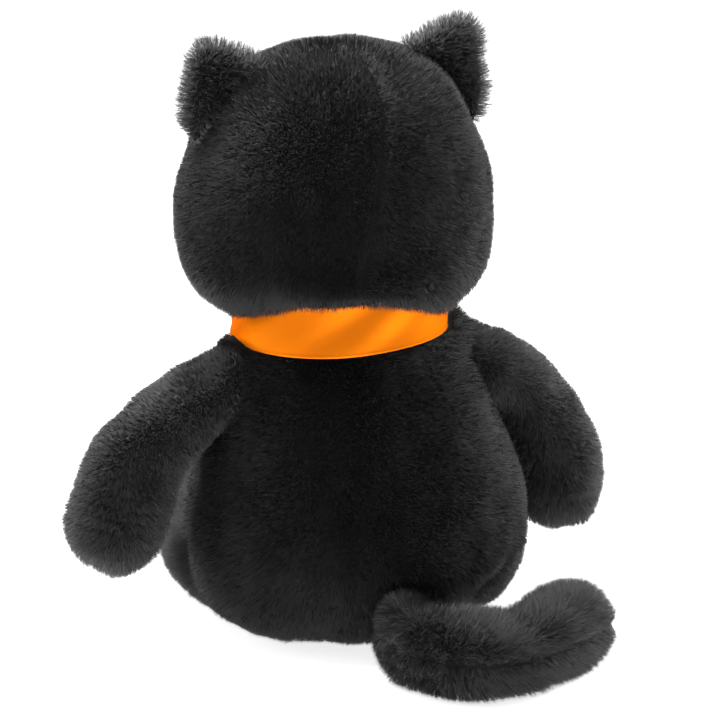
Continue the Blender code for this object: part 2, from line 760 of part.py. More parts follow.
def build_ear(word, side, neck, plush, clear):
    """Two layers: a furred back and a smaller front, both bowed forward at the edges."""
    base = mirrored(EAR_BASE_CENTRE, side)
    lean = Matrix.Rotation(side * EAR_LEAN, 3, "Y")

    def layer(name, scale, front, thick):
        rings = []
        for i in range(EAR_POINTS + 1):
            share = (2 * i / EAR_POINTS - 1) * 0.985
            across = share * EAR_BASE / 2 * scale
            bow = EAR_BOW * across * across
            top = ear_top(share) * scale
            low, high = front - bow, front + thick - bow
            corners = ((low, -EAR_SUNK), (high, -EAR_SUNK), (high, top), (low, top))
            rings.append([base + lean @ Vector((across, depth, up)) for depth, up in corners])
        made = place_mesh(name, joined_rings(rings), plush, neck)
        cut(made, clear, "DIFFERENCE")

    layer("ear_back_" + word, 1.0, 0.0, EAR_BACK_THICK)
    layer("ear_front_" + word, 0.90, -EAR_FRONT_THICK - SEAM_GAP, EAR_FRONT_THICK)


def build_arms(shoulders, plush, filling):
    for word, side in SIDES.items():
        line = arm_line(side)
        across = Vector((side * math.sin(ARM_TURN), math.cos(ARM_TURN), 0))
        for facing, way in (("back", 1), ("front", -1)):
            sleeve = limb_shell(line, ARM_RADII, ARM_STEPS, FORE_AND_AFT)
            panel = place_mesh(f"arm_{facing}_{word}", sleeve, plush, shoulders[side])
            plane = line[0] + across * way * SEAM_GAP / 2
            cut(panel, half_space(f"arm_{facing}_side_{word}", plane, across * way), "INTERSECT")
        fill = limb_fill(line, ARM_RADII, ARM_STEPS, FORE_AND_AFT)
        place_mesh("arm_stuffing_" + word, fill, filling, shoulders[side])


def build_legs(hips, plush, filling):
    for word, side in SIDES.items():
        line = leg_line(side)
        for facing, way in (("upper", 1), ("lower", -1)):
            sleeve = limb_shell(line, LEG_RADII, LEG_STEPS, UPRIGHT)
            panel = place_mesh(f"leg_{facing}_{word}", sleeve, plush, hips[side])
            plane = line[0] + Vector((0, 0, way * SEAM_GAP / 2))
            cut(panel, half_space(f"leg_{facing}_side_{word}", plane, (0, 0, way)), "INTERSECT")
        fill = limb_fill(line, LEG_RADII, LEG_STEPS, UPRIGHT)
        place_mesh("leg_stuffing_" + word, fill, filling, hips[side])
        way = (line[-1] - line[-2]).normalized()
        foot = line[-1] + way * (LEG_RADII[-1] * SOLE_INSET)
        sole = [(along, SOLE_RADIUS * share) for along, share in SOLE_DOME]
        pad = place_mesh("sole_pad_" + word, turned(foot, way, sole, 20), plush, hips[side])
        rings = tube_rings(line, LEG_RADII, -CONTACT_GAP, STUFFING_HOLE, LEG_STEPS, UPRIGHT)
        foot_clearance = cutter(place_mesh("foot_clearance_" + word, joined_rings(rings), None))
        cut(pad, foot_clearance, "DIFFERENCE")


def build_tail(root, plush, filling):
    line = tail_line()
    for facing, way in (("upper", 1), ("lower", -1)):
        sleeve = limb_shell(line, TAIL_RADII, TAIL_STEPS, UPRIGHT)
        panel = place_mesh("tail_" + facing, sleeve, plush, root)
        plane = TAIL_ROOT + Vector((0, 0, way * SEAM_GAP / 2))
        cut(panel, half_space(f"tail_{facing}_side", plane, (0, 0, way)), "INTERSECT")
    fill = limb_fill(line, TAIL_RADII, TAIL_STEPS, UPRIGHT)
    place_mesh("tail_stuffing", fill, filling, root)


def strip(path, heights, thick):
    """A ribbon strip stood on edge: it follows a path, as (place, way its face looks)."""
    rings = []
    for (place, facing), (low, high) in zip(path, heights):
        half = facing.normalized() * thick / 2
        bottom = Vector((place.x, place.y, low))
        top = Vector((place.x, place.y, high))
        rings.append([bottom - half, bottom + half, top + half, top - half])
    return joined_rings(rings)


def build_ribbon(satin):
    bm = bmesh.new()
    rows = []
    for radius, height in (
        (RIBBON_LOW_RADIUS, RIBBON_BOTTOM),
        (RIBBON_LOW_RADIUS + RIBBON_THICK, RIBBON_BOTTOM),
        (RIBBON_TOP_RADIUS + RIBBON_THICK, RIBBON_BOTTOM + RIBBON_WIDTH),
        (RIBBON_TOP_RADIUS, RIBBON_BOTTOM + RIBBON_WIDTH),
    ):
        ring = ring_at(radius, radius, NECK_Y, height, RIBBON_SEGMENTS)
        rows.append([bm.verts.new(place) for place in ring])
    for first, second in zip(rows, rows[1:] + rows[:1]):
        for k in range(RIBBON_SEGMENTS):
            n = (k + 1) % RIBBON_SEGMENTS
            bm.faces.new((first[k], first[n], second[n], second[k]))
    place_mesh("ribbon_band", bm, satin)
    knot = ball(Vector((0, BOW_Y, BOW_Z)), KNOT_SIZE / 2, 16, 10)
    place_mesh("bow_knot", knot, satin)
    for word, side in SIDES.items():
        place_mesh("bow_loop_" + word, bow_loop(side), satin)
        place_mesh("bow_tail_" + word, bow_tail(side), satin)


def bow_loop(side):
    """A strip that leaves the knot, rounds the end of the loop and comes back."""
    steps = LOOP_STEPS
    start = KNOT_SIZE.x / 2 + KNOT_GAP
    path = []
    heights = []
    for i in range(steps + 1):
        angle = math.pi * 2 * (i / steps - 0.5) * LOOP_TURN
        outward = 0.5 + 0.5 * math.cos(angle)
        reach = start + (BOW_REACH - start) * outward ** 0.8
        swell = BOW_DEPTH * math.sin(angle) * (0.25 + 0.75 * outward ** 0.6)
        if i != steps // 2:
            swell += math.copysign(LOOP_PARTING, angle)
        path.append(Vector((side * reach, BOW_Y + swell, 0)))
        spread = min((reach - start) / LOOP_SPREAD, 1.0)
        half = PINCHED_HALF + (RIBBON_WIDTH / 2 - PINCHED_HALF) * spread
        heights.append((BOW_Z - half, BOW_Z + half))
    ways = []
    for i in range(steps + 1):
        ahead = path[min(i + 1, steps)] - path[max(i - 1, 0)]
        ways.append(Vector((-ahead.y, ahead.x, 0)))
    return strip(list(zip(path, ways)), heights, RIBBON_THICK)


def chest_front(x, z):
    half = torso_half_width(z)
    return torso_middle(z) - TORSO_DEPTH_RATIO * half * math.sqrt(max(1 - (x / half) ** 2, 0.0))


def bow_tail(side):
    """A strip that hangs from the knot over the chest and ends in a slanted cut."""
    rings = []
    for i in range(BOW_TAIL_STEPS + 1):
        t = i / BOW_TAIL_STEPS
        middle = BOW_TAIL_SPREAD[0] + BOW_TAIL_SPREAD[1] * t
        opened = (RIBBON_WIDTH / 2 - BOW_TAIL_PINCH) * min(t * 2.2, 1.0)
        half = BOW_TAIL_PINCH + opened * BOW_TAIL_WIDTH
        height = BOW_Z - KNOT_SIZE.z / 2 - KNOT_GAP - BOW_TAIL_DROP * t
        row = []
        for end in (-1, 1):
            z = height + end * BOW_TAIL_SLANT * t
            edge = max(middle + end * half, BOW_TAIL_PARTING)
            y = chest_front(edge, min(z, RIBBON_BOTTOM)) - CHEST_CLEARANCE - KNOT_STAND_OFF * (1 - t)
            if z > RIBBON_BOTTOM - 0.003:
                y = min(y, NECK_Y - RIBBON_LOW_RADIUS - CHEST_CLEARANCE)
            row.append(Vector((side * edge, y, z)))
        thick = Vector((0, -RIBBON_THICK, 0))
        rings.append([row[0], row[1], row[1] + thick, row[0] + thick])
    return joined_rings(rings)


def main():
    clear_scene()
    plush = material("black_plush", BLACK_PLUSH, 0.9)
    filling = material("fibre_fill", WHITE_FILL, 1.0)
    linen = material("pellet_cloth", LINEN, 0.9)
    thread = material("black_thread", THREAD_BLACK, 0.6)
    gloss = material("eye_pupil", BLACK_GLOSS, 0.1)
    amber = material("eye_amber", AMBER, 0.12)
    nose_satin = material("nose_thread", CHARCOAL_SATIN, 0.45)
    plain = material("washer_plastic", CLEAR_WHITE, 0.4)
    ribbon = material("orange_satin", ORANGE_SATIN, 0.35)
    neck = pivot("neck_pivot", (0.0, NECK_Y, HEAD_BOTTOM))
    shoulders = {}
    hips = {}
    for word, side in SIDES.items():
        shoulders[side] = pivot("shoulder_pivot_" + word, SHOULDER_AT[side])
        hips[side] = pivot("hip_pivot_" + word, HIP_AT[side])
    root = pivot("tail_pivot", TAIL_ROOT)
    build_torso(plush, linen, filling, thread)
    build_head(neck, plush, filling, thread, gloss, amber, nose_satin, plain)
    build_arms(shoulders, plush, filling)
    build_legs(hips, plush, filling)
    build_tail(root, plush, filling)
    build_ribbon(ribbon)


main()
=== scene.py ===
import math

import bmesh
import bpy
import numpy as np
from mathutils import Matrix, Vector
from mathutils.bvhtree import BVHTree
from mathutils.kdtree import KDTree


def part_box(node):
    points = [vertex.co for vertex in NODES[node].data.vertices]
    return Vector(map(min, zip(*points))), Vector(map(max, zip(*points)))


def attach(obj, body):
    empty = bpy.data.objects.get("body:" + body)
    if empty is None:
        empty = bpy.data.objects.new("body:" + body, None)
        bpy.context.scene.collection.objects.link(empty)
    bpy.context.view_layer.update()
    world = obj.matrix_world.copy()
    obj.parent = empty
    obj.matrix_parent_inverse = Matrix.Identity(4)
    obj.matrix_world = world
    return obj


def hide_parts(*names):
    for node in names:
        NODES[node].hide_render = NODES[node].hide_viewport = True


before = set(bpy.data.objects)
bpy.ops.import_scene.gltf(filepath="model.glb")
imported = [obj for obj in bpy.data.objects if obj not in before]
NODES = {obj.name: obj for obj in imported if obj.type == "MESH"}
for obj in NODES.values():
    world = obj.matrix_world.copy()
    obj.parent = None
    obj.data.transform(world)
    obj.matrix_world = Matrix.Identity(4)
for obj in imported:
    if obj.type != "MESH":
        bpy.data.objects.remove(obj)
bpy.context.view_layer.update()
UP = Vector((0, 0, 1))

FUR_DENSITY = 3.8e6  # blades per square metre
BLADE_WIDTH = 0.00029
MAX_BLADES_IN_PIECE = 62000
FLOOR_CLEARANCE = 0.0004
TINY = 1e-9

# the sizes of the grids that the skins are drawn on
BODY_VOXEL = 0.0045
LIMB_VOXEL = 0.0032
EAR_VOXEL = 0.0024
TRIM_VOXEL = 0.0022


# ---------------------------------------------------------------- materials


def new_material(name, colour, roughness, **values):
    made = bpy.data.materials.new(name)
    made.use_nodes = True
    shader = made.node_tree.nodes["Principled BSDF"]
    shader.inputs["Base Color"].default_value = (*colour, 1.0)
    shader.inputs["Roughness"].default_value = roughness
    for key, value in values.items():
        shader.inputs[key.replace("_", " ")].default_value = value
    made.diffuse_color = (*colour, 1.0)
    return made


def plush(name, grey, sheen):
    """Black pile, a little bluer than grey, with light caught along its tips. A grey lighter than
    the torso's is painted light.
    """
    return new_material(
        name,
        (grey, grey, grey * 1.05),
        0.58,
        Specular_IOR_Level=0.30,
        Sheen_Weight=sheen,
        Sheen_Roughness=0.45,
    )


# All the pile is one black plush. The torso, legs and muzzle wear its own grey. The head, tail, arm
# and ear copies are painted light: lighter greys and stronger sheen that stand in for light catching
# those parts.
FUR = plush("black_plush_pile", 0.0095, 0.14)
HEAD_FUR_PAINTED_LIGHT = plush("black_plush_head_pile_painted_light", 0.0150, 0.16)
TAIL_FUR_PAINTED_LIGHT = plush("black_plush_tail_pile_painted_light", 0.0210, 0.18)
ARM_FUR_PAINTED_LIGHT = plush("black_plush_arm_pile_painted_light", 0.0420, 0.30)
EAR_FUR_PAINTED_LIGHT = plush("black_plush_ear_pile_painted_light", 0.0700, 0.36)
BACKING = new_material("black_plush_backing", (0.010, 0.010, 0.0106), 0.95, Specular_IOR_Level=0.1)
SATIN = new_material(
    "orange_satin",
    (0.98, 0.225, 0.006),
    0.36,
    Metallic=0.32,
    Specular_IOR_Level=0.0,
    Specular_Tint=(0.50, 0.20, 0.04, 1.0),
)
AMBER = new_material("eye_amber", (0.62, 0.25, 0.012), 0.08, Coat_Weight=1.0, Coat_Roughness=0.03)
PUPIL = new_material("eye_pupil", (0.004, 0.004, 0.004), 0.10, Coat_Weight=1.0)
NOSE = new_material("nose_thread", (0.020, 0.016, 0.018), 0.42)
THREAD = new_material("mouth_thread", (0.030, 0.028, 0.030), 0.55)
SOLE = new_material("sole_plush", (0.012, 0.012, 0.014), 0.9)


# ---------------------------------------------------------------- helpers


def unit(vectors):
    return vectors / np.maximum(np.linalg.norm(vectors, axis=1, keepdims=True), TINY)


def bump(value, centre, width):
    """1 at the centre, fading smoothly to 0 on both sides."""
    return np.exp(-(((value - centre) / width) ** 2))


def ramp(value, start, end):
    """0 up to the start, 1 from the end on and even between, whichever of the two is larger."""
    return np.clip((value - start) / (end - start), 0, 1)


def eased(share):
    """A 0 to 1 ramp with soft ends."""
    return share * share * (3 - 2 * share)


def waves(places, seed, length, count=5):
    """A smooth random value for each place, about -1 to 1, with swells of a given length."""
    rng = np.random.default_rng(seed)
    total = np.zeros(len(places))
    for _ in range(count):
        way = rng.normal(size=3)
        way *= 2 * math.pi / length / np.linalg.norm(way) * rng.uniform(0.7, 1.4)
        total += np.sin(places @ way + rng.uniform(0, 2 * math.pi))
    return total / math.sqrt(count)


# ---------------------------------------------------------------- skins


def wear(piece, finish):
    piece.data.materials.clear()
    piece.data.materials.append(finish)


def mesh_object(name, mesh, finish):
    made = bpy.data.objects.new(name, mesh)
    bpy.context.scene.collection.objects.link(made)
    wear(made, finish)
    return made


def coordinates(mesh):
    found = np.empty(len(mesh.vertices) * 3)
    mesh.vertices.foreach_get("co", found)
    return found.reshape(-1, 3)


def set_coordinates(mesh, places):
    mesh.vertices.foreach_set("co", np.ascontiguousarray(places, dtype=np.float32).ravel())
    mesh.update()


def vertex_normals(mesh):
    found = np.empty(len(mesh.vertices) * 3)
    mesh.vertex_normals.foreach_get("vector", found)
    return found.reshape(-1, 3)


def joined(nodes):
    """The CAD meshes of several nodes in one."""
    bm = bmesh.new()
    for name in nodes:
        bm.from_mesh(NODES[name].data)
    return bm


def hull_of(nodes):
    """The tight outer shape round several CAD nodes."""
    bm = joined(nodes)
    found = bmesh.ops.convex_hull(bm, input=bm.verts)
    kept = {f for f in found["geom"] if isinstance(f, bmesh.types.BMFace)}
    bmesh.ops.delete(bm, geom=[f for f in bm.faces if f not in kept], context="FACES")
    bmesh.ops.delete(bm, geom=[v for v in bm.verts if not v.link_faces], context="VERTS")
    return bm


def to_mesh(name, bm):
    mesh = bpy.data.meshes.new(name)
    bm.to_mesh(mesh)
    bm.free()
    return mesh


def apply_modifiers(piece):
    graph = bpy.context.evaluated_depsgraph_get()
    made = bpy.data.meshes.new_from_object(piece.evaluated_get(graph))
    old = piece.data
    piece.modifiers.clear()
    piece.data = made
    made.name = piece.name
    bpy.data.meshes.remove(old)


def largest_shell(piece):
    """Drops the hollows that remeshing leaves inside."""
    bm = bmesh.new()
    bm.from_mesh(piece.data)
    unseen = set(bm.verts)
    shells = []
    while unseen:
        stack = [unseen.pop()]
        shell = set(stack)
        while stack:
            for edge in stack.pop().link_edges:
                for vert in edge.verts:
                    if vert in unseen:
                        unseen.remove(vert)
                        shell.add(vert)
                        stack.append(vert)
        shells.append(shell)
    biggest = max(shells, key=len)
    spare = [v for v in bm.verts if v not in biggest]
    bmesh.ops.delete(bm, geom=spare, context="VERTS")
    bm.to_mesh(piece.data)
    bm.free()


def skin(name, bm, voxel, smooth=6):
    """An even, smooth skin round a shape."""
    piece = mesh_object(name, to_mesh(name, bm), BACKING)
    remesh = piece.modifiers.new("remesh", "REMESH")
    remesh.mode = "VOXEL"
    remesh.voxel_size = voxel
    apply_modifiers(piece)
    largest_shell(piece)
    relax = piece.modifiers.new("relax", "SMOOTH")
    relax.iterations = smooth
    relax.factor = 0.5
    apply_modifiers(piece)
    wear(piece, BACKING)
    return piece


SEAM_INSET = 0.0022
LEAST_PIN = 0.02
LARGEST_SWELL = 0.006
PRESSURE = 3.0
CLOTH_FRAMES = 20


def puff(piece, sewn):
    """Cloth under the filling's pressure, held down along its seams."""
    mesh = piece.data
    rest = coordinates(mesh)
    normals = vertex_normals(mesh)
    start = rest - normals * SEAM_INSET
    set_coordinates(mesh, start)
    pins = piece.vertex_groups.new(name="sewn")
    for index, weight in enumerate(sewn(rest)):
        if weight > LEAST_PIN:
            pins.add([index], float(weight), "REPLACE")
    cloth = piece.modifiers.new("cloth", "CLOTH")
    values = cloth.settings
    values.quality = 6
    values.mass = 0.15
    values.tension_stiffness = 12
    values.compression_stiffness = 12
    values.shear_stiffness = 6
    values.bending_stiffness = 0.5
    values.use_pressure = True
    values.uniform_pressure_force = PRESSURE
    values.vertex_group_mass = "sewn"
    values.pin_stiffness = 1.0
    values.effector_weights.gravity = 0.0
    cloth.point_cache.frame_start = 1
    cloth.point_cache.frame_end = CLOTH_FRAMES
    scene = bpy.context.scene
    for now in range(1, CLOTH_FRAMES + 1):
        scene.frame_set(now)
    apply_modifiers(piece)
    scene.frame_set(1)
    moved = coordinates(piece.data) - start
    far = np.linalg.norm(moved, axis=1, keepdims=True)
    moved *= np.minimum(1.0, LARGEST_SWELL / np.maximum(far, TINY))
    set_coordinates(piece.data, start + moved)
    piece.vertex_groups.clear()


def refine(piece):
    """A skin with four times the faces, and smoother."""
    subdivide = piece.modifiers.new("subdivide", "SUBSURF")
    subdivide.levels = subdivide.render_levels = 1
    relax = piece.modifiers.new("relax", "SMOOTH")
    relax.iterations = 2
    apply_modifiers(piece)
    wear(piece, BACKING)
    piece.data.shade_smooth()


def displaced(piece, amount):
    """Moves the skin along its normals by amount(places, normals)."""
    places = coordinates(piece.data)
    normals = vertex_normals(piece.data)
    set_coordinates(piece.data, places + normals * amount(places, normals)[:, None])


# ---------------------------------------------------------------- pile


def along_line(line):
    """A field that points along a limb's line, and how far along it each place is."""
    points = np.array([tuple(p) for p in line])

    def field(places):
        best = np.full(len(places), np.inf)
        ways = np.zeros_like(places)
        shares = np.zeros(len(places))
        for i, (a, b) in enumerate(zip(points, points[1:])):
            run = b - a
            t = np.clip(((places - a) @ run) / (run @ run), 0, 1)
            away = np.linalg.norm(places - (a + t[:, None] * run), axis=1)
            near = away < best
            best = np.where(near, away, best)
            ways[near] = run / np.linalg.norm(run)
            shares = np.where(near, (i + t) / (len(points) - 1), shares)
        return ways, shares

    return field


def sampled(mesh, density, rng):
    """Random places spread evenly over a mesh, with its smooth normals there."""
    mesh.calc_loop_triangles()
    corners = np.empty(len(mesh.loop_triangles) * 3, np.int64)
    mesh.loop_triangles.foreach_get("vertices", corners)
    corners = corners.reshape(-1, 3)
    places = coordinates(mesh)
    normals = vertex_normals(mesh)
    a, b, c = (places[corners[:, k]] for k in range(3))
    areas = np.linalg.norm(np.cross(b - a, c - a), axis=1) / 2
    total = areas.sum()
    amount = int(total * density)
    picks = np.searchsorted(np.cumsum(areas) / total, rng.random(amount))
    picks = np.minimum(picks, len(corners) - 1)
    u, v = rng.random(amount), rng.random(amount)
    flip = u + v > 1
    u[flip], v[flip] = 1 - u[flip], 1 - v[flip]
    w = 1 - u - v
    weights = np.stack([w, u, v], axis=1)[:, :, None]
    roots = (places[corners[picks]] * weights).sum(1)
    outs = unit((normals[corners[picks]] * weights).sum(1))
    return roots, outs


def nearest(points, centres):
    """The number of the nearest centre to each point."""
    tree = KDTree(len(centres))
    for index, centre in enumerate(centres):
        tree.insert(centre, index)
    tree.balance()
    return np.array([tree.find(point)[1] for point in points])


SWIRL_SWELL, SWIRL_CHANGE, SWIRL_NOISE = 0.035, 0.40, 0.55
LEAN_SWELL, LEAN_CHANGE, LEAN_NOISE = 0.022, 0.20, 0.20
LENGTH_SWELL, LENGTH_CHANGE = 0.018, 0.13
LENGTH_RANGE = (0.62, 1.12)
LEAN_RANGE = (-0.35, 1.35)
LEAN_AT_ROOT = 0.62
BLADES_IN_TUFT = 16
TUFT_PULL = (0.06, 0.34)
PULL_AT_MIDDLE = 0.35
ROOT_DEPTH = 0.0006
WIDTH_RANGE = (0.7, 1.3)
WIDTH_AT_MIDDLE = 0.85
FACING_NOISE = 0.35
BLADE_SHADE = 0.25


def unevenly(roots, outs, comb, lean, length, seed, rng):
    """The pile's comb, lean and length with swells and noise in them."""
    count = len(roots)
    swirl = waves(roots, seed + 1, SWIRL_SWELL) * SWIRL_CHANGE + rng.normal(0, SWIRL_NOISE, count)
    comb = unit(comb - outs * (comb * outs).sum(1, keepdims=True))
    side = np.cross(outs, comb)
    comb = comb * np.cos(swirl)[:, None] + side * np.sin(swirl)[:, None]
    lean = lean * (1 + LEAN_CHANGE * waves(roots, seed + 2, LEAN_SWELL))
    lean = np.clip(lean + rng.normal(0, LEAN_NOISE, count), *LEAN_RANGE)
    length = length * (1 + LENGTH_CHANGE * waves(roots, seed + 3, LENGTH_SWELL))
    return comb, lean, length * rng.uniform(*LENGTH_RANGE, count)


def tufted(roots, middle, tips, rng):
    """Draws each blade towards the blade that leads its tuft."""
    count = len(roots)
    leaders = rng.choice(count, max(count // BLADES_IN_TUFT, 1), replace=False)
    group = leaders[nearest(roots, roots[leaders])]
    pull = rng.uniform(*TUFT_PULL, count)[:, None]
    middle += (middle[group] - middle) * pull * PULL_AT_MIDDLE
    tips += (tips[group] - tips) * pull
    return middle, tips


def pile(name, base, body, style, seed, slot="black_plush", fluff=0.12, finish=FUR, lift=0.0):
    """Plush pile on a skin, as tapered blades gathered into tufts.

    style(places, normals) gives each blade's length, lean from upright in radians, the way
    it is combed, and whether it is kept. fluff is how much the blades' shading varies, and
    lift how much it is turned upwards.
    """
    rng = np.random.default_rng(seed)
    roots, outs = sampled(base.data, FUR_DENSITY, rng)
    length, lean, comb, kept = style(roots, outs)
    roots, outs = roots[kept], outs[kept]
    comb, lean, length = unevenly(roots, outs, comb[kept], lean[kept], length[kept], seed, rng)
    low = lean * LEAN_AT_ROOT
    first = outs * np.cos(low)[:, None] + comb * np.sin(low)[:, None]
    second = outs * np.cos(lean)[:, None] + comb * np.sin(lean)[:, None]
    middle = roots + first * (length * 0.5)[:, None]
    tips = middle + second * (length * 0.5)[:, None]
    middle, tips = tufted(roots, middle, tips, rng)
    count = len(roots)
    noise = rng.normal(0, FACING_NOISE, (count, 3)) * length[:, None]
    across = unit(np.cross(tips - roots, outs) + noise)
    across *= np.sign((np.cross(across, tips - roots) * outs).sum(1, keepdims=True) + TINY)
    half = (BLADE_WIDTH / 2 * rng.uniform(*WIDTH_RANGE, count))[:, None]
    roots = roots - outs * ROOT_DEPTH
    points = np.stack(
        [
            roots - across * half,
            roots + across * half,
            middle - across * half * WIDTH_AT_MIDDLE,
            middle + across * half * WIDTH_AT_MIDDLE,
            tips,
        ],
        axis=1,
    )
    points[:, :, 2] = np.maximum(points[:, :, 2], FLOOR_CLEARANCE)
    facing = unit(np.cross(across, tips - roots))
    upward = np.array(UP) * lift * np.clip(1 + outs[:, 2:], 0, 1)
    shade = unit(outs + facing * BLADE_SHADE + upward + rng.normal(0, fluff, (count, 3)))
    pieces = max(1, math.ceil(count / MAX_BLADES_IN_PIECE))
    order = np.argsort(np.arctan2(points[:, 0, 1], points[:, 0, 0]), kind="stable")
    for number, chosen in enumerate(np.array_split(order, pieces)):
        title = name if pieces == 1 else f"{name}_{number + 1}"
        piece = blades(title, points[chosen], shade[chosen], rng, finish)
        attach(piece, body)


BLADE_POINTS = 5
BLADE_CORNERS = np.array([0, 1, 3, 2, 2, 3, 4])  # a four-sided face, then the tip's triangle
BLADE_STARTS = np.array([0, 4])
HEIGHT_IN_UV = np.array([0.02, 0.02, 0.5, 0.5, 0.98])  # of a blade's points, from root to tip


def blades(name, points, shade, rng, finish):
    """A mesh of blades, each two faces long."""
    count = len(points)
    numbers = np.arange(count)[:, None]
    mesh = bpy.data.meshes.new(name)
    mesh.vertices.add(count * BLADE_POINTS)
    mesh.vertices.foreach_set("co", points.astype(np.float32).ravel())
    corners = numbers * BLADE_POINTS + BLADE_CORNERS
    mesh.loops.add(corners.size)
    mesh.loops.foreach_set("vertex_index", corners.astype(np.int32).ravel())
    starts = numbers * len(BLADE_CORNERS) + BLADE_STARTS
    mesh.polygons.add(starts.size)
    mesh.polygons.foreach_set("loop_start", starts.astype(np.int32).ravel())
    mesh.update(calc_edges=True)
    mesh.shade_smooth()
    layer = mesh.uv_layers.new(name="OFBake")
    u = np.repeat(rng.random(count)[:, None], len(BLADE_CORNERS), axis=1)
    v = np.tile(HEIGHT_IN_UV[BLADE_CORNERS], (count, 1))
    layer.uv.foreach_set("vector", np.stack([u, v], axis=2).astype(np.float32).ravel())
    mesh.normals_split_custom_set_from_vertices(np.repeat(shade, BLADE_POINTS, axis=0))
    return mesh_object(name, mesh, finish)


# ---------------------------------------------------------------- where things are


def centre_of(node):
    low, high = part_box(node)
    return (low + high) / 2


SIDES = {"left": 1, "right": -1}
NOSE_AT = np.array(centre_of("nose"))
MOUTH_AT = np.array(centre_of("mouth_stitches"))
TORSO_NODES = ["back_panel_left", "back_panel_right", "belly_panel", "base_panel"]
HEAD_NODES = ["head_panel_left", "head_panel_right", "face_panel"]
SIDE_SEAM_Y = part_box("belly_panel")[1].y
HEAD_SEAM_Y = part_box("face_panel")[1].y
HEAD_TOP_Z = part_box("face_panel")[1].z
BAND_LOW, BAND_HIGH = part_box("ribbon_band")
NECK = Vector(((BAND_LOW.x + BAND_HIGH.x) / 2, (BAND_LOW.y + BAND_HIGH.y) / 2, BAND_LOW.z))
SEAM_WIDTH = 0.0035


def round_neck(places):
    """How far each place is from the neck's middle, and its turn about it."""
    x, y = places[:, 0] - NECK.x, places[:, 1] - NECK.y
    return np.hypot(x, y), np.arctan2(y, x)


# ---------------------------------------------------------------- torso and head skins


def torso_seams(places):
    """1 where the torso is held: at its seams, at the neck and where it sits."""
    back = bump(places[:, 0], 0, SEAM_WIDTH) * (places[:, 1] > SIDE_SEAM_Y)
    sides = bump(places[:, 1], SIDE_SEAM_Y, SEAM_WIDTH)
    base = bump(places[:, 2], 0.010, SEAM_WIDTH)
    neck = ramp(places[:, 2], 0.140, 0.150)
    seat = ramp(places[:, 2], 0.006, 0.002)
    return np.max([back, sides, base, neck, seat], axis=0)


def head_seams(places):
    """1 where the head is held: at its seams and at the neck."""
    back = bump(places[:, 0], 0, SEAM_WIDTH) * (places[:, 1] > HEAD_SEAM_Y)
    across = bump(places[:, 1], HEAD_SEAM_Y, SEAM_WIDTH)
    neck = ramp(places[:, 2], 0.168, 0.162)
    return np.max([back, across, neck], axis=0)


CREASE_TOP = np.array([-0.0600, 0.043, 0.050])
CREASE_END = np.array([-0.0440, 0.056, 0.026])
TAIL_ROOT = np.array([-0.004, 0.078, 0.040])


def from_crease(places):
    """Distance from the fold where the torso bulges over the right hip."""
    line = CREASE_END - CREASE_TOP
    share = np.clip((places - CREASE_TOP) @ line / (line @ line), 0, 1)
    return np.linalg.norm(places - CREASE_TOP - share[:, None] * line, axis=1)


def torso_shape(places, normals):
    """The torso widens to meet the arms and the tail, and folds over the right hip."""
    right = places[:, 0] < 0
    side = np.abs(normals[:, 0]) ** 2
    shoulder = bump(places[:, 2], np.where(right, 0.141, 0.133), 0.013) * bump(places[:, 1], 0, 0.03)
    armpit = bump(places[:, 2], 0.118, 0.016) * bump(places[:, 1], 0.004, 0.03)
    tail_root = bump(np.linalg.norm(places - TAIL_ROOT, axis=1), 0, 0.020)
    fold = bump(from_crease(places), 0, 0.0045)
    out = np.where(right, 0.0105, 0.0088) * shoulder * side + 0.0030 * armpit * side
    return out + 0.0055 * tail_root - 0.0034 * fold + 0.0008 * waves(places, 11, 0.05)


def sit(piece):
    """The torso's weight is over its right side, and its foot spreads except by the tail."""
    places = coordinates(piece.data)
    places[:, 0] -= 0.0052 * ramp(places[:, 2], 0.13, 0.07)
    foot = eased(ramp(places[:, 2], 0.042, 0.008))
    turn = np.arctan2(places[:, 1], places[:, 0])
    by_hip = bump(turn, 0.5, 0.38)
    by_tail = bump(turn, 2.2, 0.40)
    places[:, :2] *= 1 + ((0.045 + 0.060 * by_hip - 0.100 * by_tail) * foot)[:, None]
    places[:, 2] += (0.0035 * by_tail - 0.0012) * foot
    places[:, 2] = np.maximum(places[:, 2], FLOOR_CLEARANCE)
    set_coordinates(piece.data, places)


def head_shape(places, normals):
    """The head is fuller low down, where the filling settles over the neck."""
    right = places[:, 0] < 0
    low = bump(places[:, 2], 0.172, 0.017)
    high = bump(places[:, 2], 0.240, 0.022)
    sideways = np.abs(normals[:, 0])
    out = np.hypot(normals[:, 0], normals[:, 1])
    cheek = np.where(right, 0.0046, 0.0024) * low * sideways
    cheek += 0.0022 * bump(places[:, 2], 0.207, 0.018) * np.clip(normals[:, 0], 0, 1)
    temple = np.where(right, 0.0036, 0.0026) * high * sideways
    crown = 0.0007 * np.clip(normals[:, 2], 0, 1)
    return cheek + 0.003 * low * out - temple + crown + 0.0008 * waves(places, 21, 0.05)


# how low the head's rim hangs over the ribbon, all the way round
RIM_TURNS = np.radians([-180, -90, 0, 20, 40, 75, 95, 133, 150, 180])
RIM_HEIGHTS = [0.1620, 0.1603, 0.1592, 0.1610, 0.1656, 0.1635, 0.1602, 0.1572, 0.1598, 0.1620]
RIM_SWELL = 0.0090


